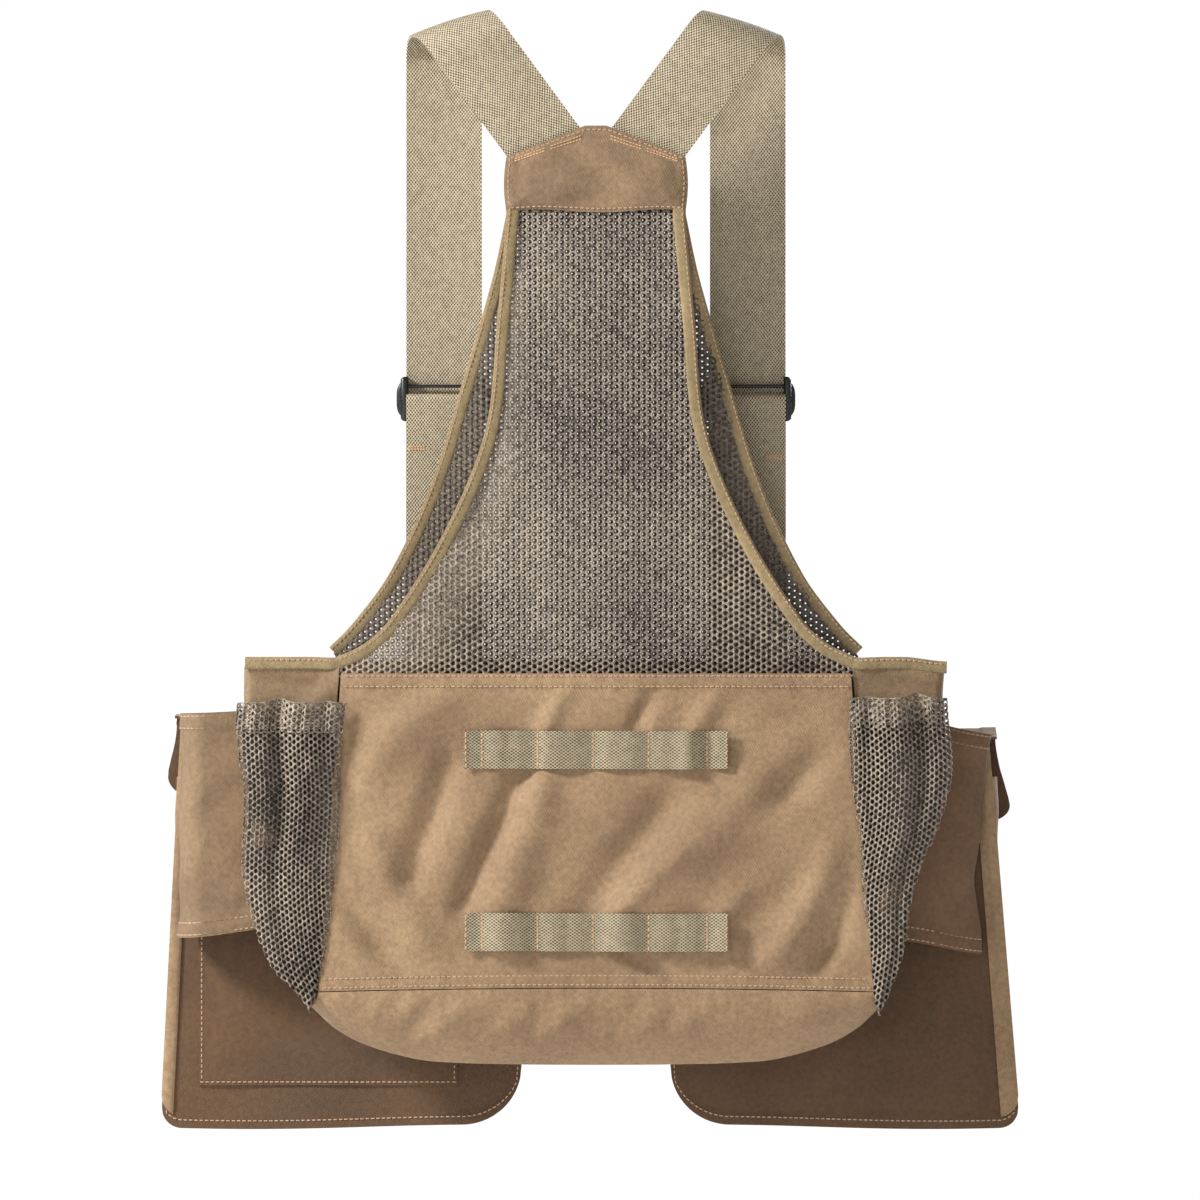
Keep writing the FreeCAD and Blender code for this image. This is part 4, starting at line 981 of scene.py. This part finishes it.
# Both hip panels take darker copies of the cloth with painted shade; the right one is darker still, painted
# as turned away from the light.
HIP_SHADED_CLOTH = {"left": shade_copy_cotton,
              "right": waxed_cotton("waxed_cotton_tan_deep_painted_shade", ("#553D29", "#6C4F36", "#876A4D"))}
HIP_START, HIP_END, HIP_SLOPE_X = 0.192, 0.236, 0.2
for name, side in SIDES:
    side_low, side_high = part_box(f"side_panel_{name}")
    turn_x = max(abs(side_low.x), abs(side_high.x))
    bend_radius = (side_high.y - side_low.y) / 2
    leg = turn_x - bend_radius
    back_long, turn_long, front_long = leg - HIP_START, math.pi * bend_radius, leg - HIP_END
    round_long = back_long + turn_long + front_long

    def side_face(u, v):
        """From the bag's seam, round the hip, to the front panel."""
        t = u if side > 0 else 1 - u
        step = t * round_long
        if step < back_long:
            x, y, normal = HIP_START + step, side_low.y, Vector(BACKWARD)
        elif step > back_long + turn_long:
            x, y, normal = leg - (step - back_long - turn_long), side_high.y, Vector(FORWARD)
        else:
            turn = (step - back_long) / bend_radius
            x = leg + bend_radius * math.sin(turn)
            y = (side_low.y + side_high.y) / 2 - bend_radius * math.cos(turn)
            normal = Vector((side * math.sin(turn), -math.cos(turn), 0))
        far = ease((x - HIP_SLOPE_X) / 0.08)
        foot, top = (spread(pair[name][0], pair[name][1], far) for pair in (SIDE_FOOT, SIDE_TOP))
        height = spread(foot, top, v)
        x = spread(HIP_START, between(HIP_EDGE[name], height), share_of(HIP_START, turn_x, x))
        folds = 2.0 * ripple(side * step, height, 0.14, 0.03, 0.5 * side, 80 + side)
        folds += 1.2 * ripple(side * step, height, 0.10, 0.02, -0.9 * side, 84)
        free = ease(min(v, 1 - v) * 8) * ease(min(t, 1 - t) * 8)
        hem = max(ease((0.0105 - (top - height)) / HEM_STEP), ease((0.0095 - (height - foot)) / HEM_STEP))
        out = 0.0019 * folds * free + 0.0007 * hem
        tilt = (0.32 if side > 0 else -0.06) * (x - HIP_SLOPE_X)
        tilt *= 1 - ease((step - back_long) / turn_long)
        return Vector((side * x, y + tilt, hem_line + height)) + normal * out

    hip = sewn_cloth(f"hip_panel_{name}", 110, 64, side_face, CLOTH_THICK, HIP_SHADED_CLOTH[name],
                     behind=inside_shade_cotton)
    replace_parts(hip, f"side_panel_{name}")
    hip_rows = []
    for drop in (0.0018, 0.0098):
        v = 1 - drop / 0.150
        for u0, u1 in ((0.01, 0.33), (0.34, 0.66), (0.67, 0.99)):
            outward = BACKWARD if (u0 < 0.3) == (side > 0) else FORWARD
            outward = (side, 0, 0) if 0.3 < u0 < 0.6 else outward
            hip_rows.append((seam(side_face, [(u0, v), (u1, v)], 40), outward))
            hip_rows.append((seam(side_face, [(u0, 1 - v), (u1, 1 - v)], 40), outward))
    stitch_rows(f"hip_panel_stitching_{name}", hip_rows, seam_thread)

# ---- Front panels and the inside patch pocket ----
# The longest panels: one layer of waxed cotton with a turned edge all round, tan outside; the side worn
# inwards takes a darker copy of the cloth with painted shade. The left one has a flat document pocket sewn on
# its inner side.


def rounded_foot(x, start, end, start_round, end_round):
    """How far an edge has risen at x, for an outline with a round corner at each end."""
    rise = 0.0
    for gap, radius in ((abs(x - start), start_round), (abs(end - x), end_round)):
        if gap < radius:
            rise += radius - math.sqrt(max(radius ** 2 - (radius - gap) ** 2, 0))
    return rise


def crowded(share):
    """A share from 0 to 1 with its steps closer together near both ends."""
    return spread(share, 0.5 - 0.5 * math.cos(math.pi * share), 0.6)


def top_slope(side, x):
    """How far a front panel's top edge, and the flap sewn along it, slope down at x."""
    return (0.016 if side > 0 else 0.002) * ease((abs(x) - 0.15) / 0.10)


FRONT_TOP_HALF = {"left": 0.278, "right": 0.262}
for name, side in SIDES:
    panel_low, panel_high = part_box(f"front_panel_{name}")
    panel_in, panel_out = sorted((abs(panel_low.x), abs(panel_high.x)))
    panel_out += 0.003

    def panel_face(u, v):
        """One front panel, with rounded lower corners and a turned edge."""
        t = crowded(u if side > 0 else 1 - u)
        foot_x = spread(panel_in, panel_out, t)
        rise = rounded_foot(foot_x, panel_in, panel_out, 0.040, 0.014)
        top = panel_high.z - top_slope(side, spread(panel_in, FRONT_TOP_HALF[name], t))
        z = spread(panel_low.z + rise + 0.0015 * math.sin(5 * t + 1), top, v)
        level = share_of(panel_low.z, panel_high.z, z)
        x = spread(panel_in, spread(panel_out, FRONT_TOP_HALF[name], level), t)
        free = ease(min(v * 1.3, (1 - v) * 3, 1 - t, t * 2) * 7)
        folds = 1.7 * ripple(side * x, z, 0.16, 0.045, 1.1, 90 + side) + ripple(x, z, 0.1, 0.03, -0.5, 95)
        edge = min(t * (panel_out - panel_in), (1 - t) * (panel_out - panel_in), z - panel_low.z - rise)
        hem = ease((0.0085 - edge) / HEM_STEP) * 0.0006
        return Vector((side * x, panel_low.y - 0.0012 * (folds + 0.3) * free - hem, z))

    panel = sewn_cloth(f"front_cloth_{name}", 120, 100, panel_face, CLOTH_THICK, inside_shade_cotton,
                       behind=tan_cotton)
    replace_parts(panel, f"front_panel_{name}")

    def edge_fold_face(u, v):
        t = 1 - (0.10 if side > 0 else 0.07) * ((1 - u) if side > 0 else u)
        face = panel_face(t if side > 0 else 1 - t, spread(0.03, 0.995, v))
        return face + Vector((side * 0.0006, -0.0011 - 0.0008 * math.sin(math.pi * u), 0))

    sewn_cloth(f"front_edge_fold_{name}", 8, 120, edge_fold_face, CLOTH_THICK, tan_cotton)
    inset = 0.012
    stitch_rows(f"front_edge_stitching_{name}",
                [(seam(panel_face, [(inset, 0.99), (inset, 0.14), (0.03, 0.02), (0.97, 0.02),
                                    (1 - inset, 0.14), (1 - inset, 0.99)], 90), BACKWARD)],
                seam_thread)
    if name == "left":
        inside_low, inside_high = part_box("inner_patch_pocket")

        def inside_face(u, v):
            x, z = spread(inside_low.x, inside_high.x, u), spread(inside_low.z, inside_high.z, v)
            t = share_of(panel_in, panel_out, abs(x))
            behind_cloth = panel_face(1 - t, share_of(panel_low.z, panel_high.z, z))
            free = ease(min(u, 1 - u, v, 1.6 - v) * 6)
            swell = 0.0012 * free + 0.0012 * ripple(x, z, 0.08, 0.03, 0.9, 99) * free
            return Vector((x, behind_cloth.y - 0.0014 - swell, z))

        inside_pocket = sewn_cloth("inside_patch", 90, 80, inside_face, CLOTH_THICK, inside_shade_cotton)
        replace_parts(inside_pocket, "inner_patch_pocket")
        stitch_rows("inside_patch_stitching",
                    [(seam(inside_face, [(0.012, 0.985), (0.012, 0.014), (0.988, 0.014), (0.988, 0.985)],
                           90), BACKWARD)], seam_thread)

# ---- Front pockets: bellows, faces and flaps ----
# Box pockets on the outside of each front panel: a pleated strip round three sides, a flat face, and
# a flap in one piece that is sewn along its top and snapped to the face.
FLAP_FLARE = {"left": (0.0085, 0.0055), "right": (0.0135, 0.0080)}
for name, side in SIDES:
    bellows_low, bellows_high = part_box(f"front_pocket_gusset_{name}")
    face_low, face_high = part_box(f"front_pocket_face_{name}")
    corner_round, outward_swell = 0.016, {"left": 0.009, "right": 0.006}[name]
    straight = bellows_high.z - bellows_low.z - corner_round
    across = bellows_high.x - bellows_low.x - 2 * corner_round
    quarter = corner_round * math.pi / 2
    way_round = 2 * straight + 2 * quarter + across

    def bellows_face(u, v):
        """A strip that runs down one side of the pocket, along its foot and up the other."""
        step, centre_z = v * way_round, bellows_low.z + corner_round
        if step < straight:
            x, z, normal = bellows_low.x, bellows_high.z - step, Vector((-1, 0, 0))
        elif step < straight + quarter:
            turn = (step - straight) / corner_round
            normal = Vector((-math.cos(turn), 0, -math.sin(turn)))
            x = bellows_low.x + corner_round + normal.x * corner_round
            z = centre_z + normal.z * corner_round
        elif step < straight + quarter + across:
            x = bellows_low.x + corner_round + step - straight - quarter
            z, normal = bellows_low.z, Vector((0, 0, -1))
        elif step < straight + 2 * quarter + across:
            turn = (step - straight - quarter - across) / corner_round
            normal = Vector((math.sin(turn), 0, -math.cos(turn)))
            x = bellows_high.x - corner_round + normal.x * corner_round
            z = centre_z + normal.z * corner_round
        else:
            x, normal = bellows_high.x, Vector((1, 0, 0))
            z = centre_z + step - straight - 2 * quarter - across
        outer_wall = ease(normal.x * side * 1.5)
        pleat = math.sin(math.pi * u) ** 0.8 * spread(0.0035, outward_swell, outer_wall)
        crumple = 0.0022 * ripple(step, u * 0.03, 0.03, 0.03, 0.3, 110 + side) * math.sin(math.pi * u)
        y = spread(bellows_low.y, bellows_high.y, u)
        return Vector((x, y, z)) + normal * (pleat + crumple)

    bellows = sewn_cloth(f"bellows_{name}", 26, 190, bellows_face, CLOTH_THICK, tan_cotton)
    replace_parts(bellows, f"front_pocket_gusset_{name}")

    def pocket_front(u, v):
        """The pocket's face, with a hem along its open top."""
        x = spread(face_high.x, face_low.x, crowded(u))
        rise = rounded_foot(x, face_low.x, face_high.x, corner_round, corner_round)
        z = spread(face_low.z + rise, face_high.z, v)
        free = ease(min(u, 1 - u, v, 1.3 - v) * 6)
        folds = 1.3 * ripple(x, z, 0.13, 0.04, 0.8, 120 + side) + ripple(x, z, 0.08, 0.03, -0.6, 125)
        hem = 0.0007 * ease((0.0185 - (face_high.z - z)) / HEM_STEP)
        return Vector((x, face_high.y - CLOTH_THICK * 0.1 + 0.0012 * folds * free - 0.001 * free + hem, z))

    front = sewn_cloth(f"pocket_front_{name}", 96, 84, pocket_front, CLOTH_THICK, tan_cotton)
    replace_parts(front, f"front_pocket_face_{name}")
    stitch_rows(f"pocket_front_stitching_{name}",
                [(seam(pocket_front, [(0.02, 0.98), (0.02, 0.1), (0.05, 0.016), (0.95, 0.016), (0.98, 0.1),
                                      (0.98, 0.98)], 80), FORWARD),
                 (seam(pocket_front, [(0.02, 0.925), (0.98, 0.925)], 80), FORWARD)],
                seam_thread)

    # The flap is cut wider at its foot, so its lower corner shows past the panel's edge.
    flap_low, flap_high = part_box(f"pocket_flap_{name}")
    flap_bend = 0.007
    flap_out = flap_high.y - flap_low.y - flap_bend
    flap_drop = flap_high.z - flap_low.z - flap_bend
    flap_turn = flap_bend * math.pi / 2

    def flap_face(u, v):
        """The flap: up from its free edge, over the bend and in to its seam."""
        x = spread(flap_high.x, flap_low.x, crowded(u))
        rise = rounded_foot(x, flap_low.x, flap_high.x, 0.020, 0.020)
        step = spread(rise, flap_drop + flap_turn + flap_out, v)
        if step < flap_drop:
            y, z, normal = flap_high.y, flap_low.z + step, Vector(FORWARD)
        elif step < flap_drop + flap_turn:
            turn = (step - flap_drop) / flap_bend
            normal = Vector((0, math.cos(turn), math.sin(turn)))
            y = flap_high.y - flap_bend + flap_bend * normal.y
            z = flap_high.z - flap_bend + flap_bend * normal.z
        else:
            y = flap_high.y - flap_bend - (step - flap_drop - flap_turn)
            z, normal = flap_high.z, Vector((0, 0, 1))
        free = ease(v * 5) * ease((1 - v) * 5)
        folds = 0.0011 * ripple(x, step, 0.10, 0.03, 0.2, 130 + side) * free
        edge = min(x - flap_low.x, flap_high.x - x, step - rise)
        hem = 0.0006 * ease((0.009 - edge) / HEM_STEP)
        sag = 0.0014 * math.sin(math.pi * u) * ease((step - flap_drop) / 0.02) * (1 - v)
        outer = 1 - u if side > 0 else u
        flare = FLAP_FLARE[name][0] * ease((outer - 0.55) / 0.45) * ease(step / flap_drop)
        droop = (0.010 if side > 0 else 0.0) * ease((outer - 0.5) / 0.5) * ease((flap_drop - step) / 0.03)
        flare -= FLAP_FLARE[name][1] * ease((outer - 0.8) / 0.2)
        droop += top_slope(side, x) * spread(0.6, 1.0, max(step - flap_drop - flap_turn, 0) / flap_out)
        return Vector((x - side * flare, y, z - droop)) + normal * (folds + hem - sag - 0.0005)

    # The flap's underside takes the darker copy of the cloth, with painted shade.
    flap = sewn_cloth(f"flap_cloth_{name}", 100, 84, flap_face, CLOTH_THICK * 1.6, tan_cotton,
                      body=None, behind=inside_shade_cotton)
    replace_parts(flap, f"pocket_flap_{name}")
    drop_share = 0.58
    flap_rows = [(seam(flap_face, [(0.015, drop_share), (0.015, 0.16), (0.06, 0.025), (0.94, 0.025),
                                   (0.985, 0.16), (0.985, drop_share)], 60), FORWARD),
                 (seam(flap_face, [(0.05, drop_share), (0.05, 0.2), (0.09, 0.1), (0.91, 0.1), (0.95, 0.2),
                                   (0.95, drop_share)], 60), FORWARD),
                 (seam(flap_face, [(0.01, 0.93), (0.99, 0.93)], 60), (0, 0, 1))]
    flap_stitches = stitch_rows(f"flap_stitching_{name}", flap_rows, seam_thread, body=None)
    # The seam edge lies along the panel; the flap and its stitches keep to no single body, so their placement
    # is baked into their meshes.
    for piece in (flap, flap_stitches):
        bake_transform(piece)

# ---- Snaps ----
# Pressed brass snap on each pocket, antique finished: a domed cap and socket clinched through the
# flap, and a stud clinched through the pocket's face.


def antique_brass(name):
    """Brass with an antique plating: dark in the hollows, rubbed bright where it is handled."""
    metal, place = new_material(name)
    patina = add_node(metal, "ShaderNodeTexNoise", {"Scale": 420, "Detail": 3}, {"Vector": place})
    tone = add_node(metal, "ShaderNodeMapRange", {1: 0.35, 2: 0.7}, {0: patina.outputs["Fac"]})
    mixed = add_node(metal, "ShaderNodeMix", {"data_type": "RGBA", 6: linear("#5E4B30"),
                                              7: linear("#A88B5C")}, {0: tone.outputs[0]})
    rough = add_node(metal, "ShaderNodeMapRange", {1: 0.3, 2: 0.7, 3: 0.28, 4: 0.46},
                     {0: patina.outputs["Fac"]})
    return feed(metal, {"Base Color": mixed.outputs[2], "Roughness": rough.outputs[0]}, {"Metallic": 1})


snap_brass = antique_brass("antique_plated_brass")


def pressed_disc(name, centre, profile, node, body):
    """A round part turned about a line along Y, from (radius, y) pairs that start and end on it."""
    disc = primitive(name, "grid", x_subdivisions=40, y_subdivisions=len(profile) - 1, size=1)
    for vertex in disc.data.vertices:
        radius, y = profile[round((vertex.co.y + 0.5) * (len(profile) - 1))]
        turn = (vertex.co.x + 0.5) * math.tau
        vertex.co = Vector(centre) + Vector((radius * math.cos(turn), y, radius * math.sin(turn)))
    closed(disc.data)
    bpy.ops.object.shade_smooth_by_angle(angle=math.radians(35))
    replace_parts(handed_over(disc, snap_brass, body), node)


for name in ("left", "right"):
    for part, body in (("cap", f"flap_{name}"), ("socket", f"flap_{name}"), ("stud", "vest")):
        snap_low, snap_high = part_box(f"snap_{part}_{name}")
        deep, wide = snap_high.y - snap_low.y, (snap_high.x - snap_low.x) / 2
        middle = (snap_low + snap_high) / 2
        profiles = {
            "cap": ((0, 0), (wide * 0.9, 0), (wide, deep * 0.15), (wide, deep * 0.4),
                    (wide * 0.93, deep * 0.62), (wide * 0.78, deep * 0.84), (wide * 0.5, deep * 0.97),
                    (0, deep)),
            "socket": ((0, deep), (wide * 0.92, deep), (wide, deep * 0.75), (wide, deep * 0.3),
                       (wide * 0.9, 0), (wide * 0.5, 0), (wide * 0.42, deep * 0.5), (0, deep * 0.5)),
            "stud": ((0, 0), (wide, 0), (wide, deep * 0.25), (wide * 0.45, deep * 0.36),
                     (wide * 0.28, deep * 0.5), (wide * 0.33, deep * 0.8), (wide * 0.24, deep), (0, deep))}
        pressed_disc(f"snap_{part}_disc_{name}", (middle.x, snap_low.y, middle.z), profiles[part],
                     f"snap_{part}_{name}", body)

# ---- Waist belt and buckle ----
# An inch and a half of webbing from each front panel, joined by a black side-release buckle.
for name, side in SIDES:
    belt_low, belt_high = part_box(f"waist_belt_{name}")
    near, far = sorted((abs(belt_low.x), abs(belt_high.x)))

    def belt_face(u, v):
        """The belt steps in from the front panel to the buckle."""
        x = spread(belt_high.x, belt_low.x, u)
        drop = ease((abs(x) - 0.061) / 0.012)
        y = spread(belt_high.y, belt_low.y + STRAP_THICK, drop)
        return Vector((x, y, spread(belt_low.z, belt_high.z, v)))

    belt = sewn_cloth(f"belt_{name}", 60, 12, belt_face, STRAP_THICK, strap_weave,
                      size=(far - near, belt_high.z - belt_low.z))
    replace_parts(belt, f"waist_belt_{name}")
    tack_rows = []
    for x in (0.0745, 0.078):
        u = (belt_high.x - side * x) / (belt_high.x - belt_low.x)
        tack_rows.append((seam(belt_face, [(u, 0.05), (u, 0.95)], 16), FORWARD))
    stitch_rows(f"belt_tacks_{name}", tack_rows, tack_thread, pitch=0.0022, length=0.0021)

socket_low, socket_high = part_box("buckle_socket")
plug_low, plug_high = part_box("buckle_plug")
buckle_wall, prong_long, tail_start, BELT_SLOT = 0.0024, 0.022, 0.0063, 0.0391
middle_y, middle_z = (socket_low.y + socket_high.y) / 2, (socket_low.z + socket_high.z) / 2
deep, tall = socket_high.y - socket_low.y, socket_high.z - socket_low.z


def walls(name, low_x, high_x, wall_y, wall_z, body):
    """Four rounded walls of a flat sleeve along X, joined in one piece."""
    x, long = (low_x + high_x) / 2, high_x - low_x
    sides = [moulded_block(f"{name}_{i}", (x, middle_y + way * (deep - wall_y) / 2, middle_z),
                           (long, wall_y, tall - 0.0004), 0.0009, black_acetal, body)
             for i, way in enumerate((-1, 1))]
    ends = [moulded_block(f"{name}_{i + 2}", (x, middle_y, middle_z + way * (tall - wall_z) / 2),
                          (long - 0.0004, deep - 0.0004, wall_z), 0.0009, black_acetal, body)
            for i, way in enumerate((-1, 1))]
    shell = joined(sides[0], sides[1:] + ends)
    shell.name = name
    return shell


socket = walls("side_release_socket", socket_low.x, socket_high.x, buckle_wall, buckle_wall, "vest")
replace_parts(socket, "buckle_socket")
plug_wall_y = (deep - STRAP_THICK - 0.001) / 2
plug_wall_z = (tall - BELT_SLOT) / 2
plug = walls("side_release_plug", tail_start, plug_high.x, plug_wall_y, plug_wall_z, "buckle_plug")
prong_z = tall / 2 - buckle_wall - 0.0005 - 0.002
prongs = [moulded_block(f"prong_{i}", (tail_start + 0.001 - (prong_long + 0.001) / 2, middle_y,
                                       middle_z + way * prong_z),
                        (prong_long + 0.001, deep - 2 * buckle_wall - 0.001, 0.004), 0.001, black_acetal,
                        "buckle_plug") for i, way in enumerate((-1, 1))]
joined(plug, prongs)
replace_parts(plug, "buckle_plug")
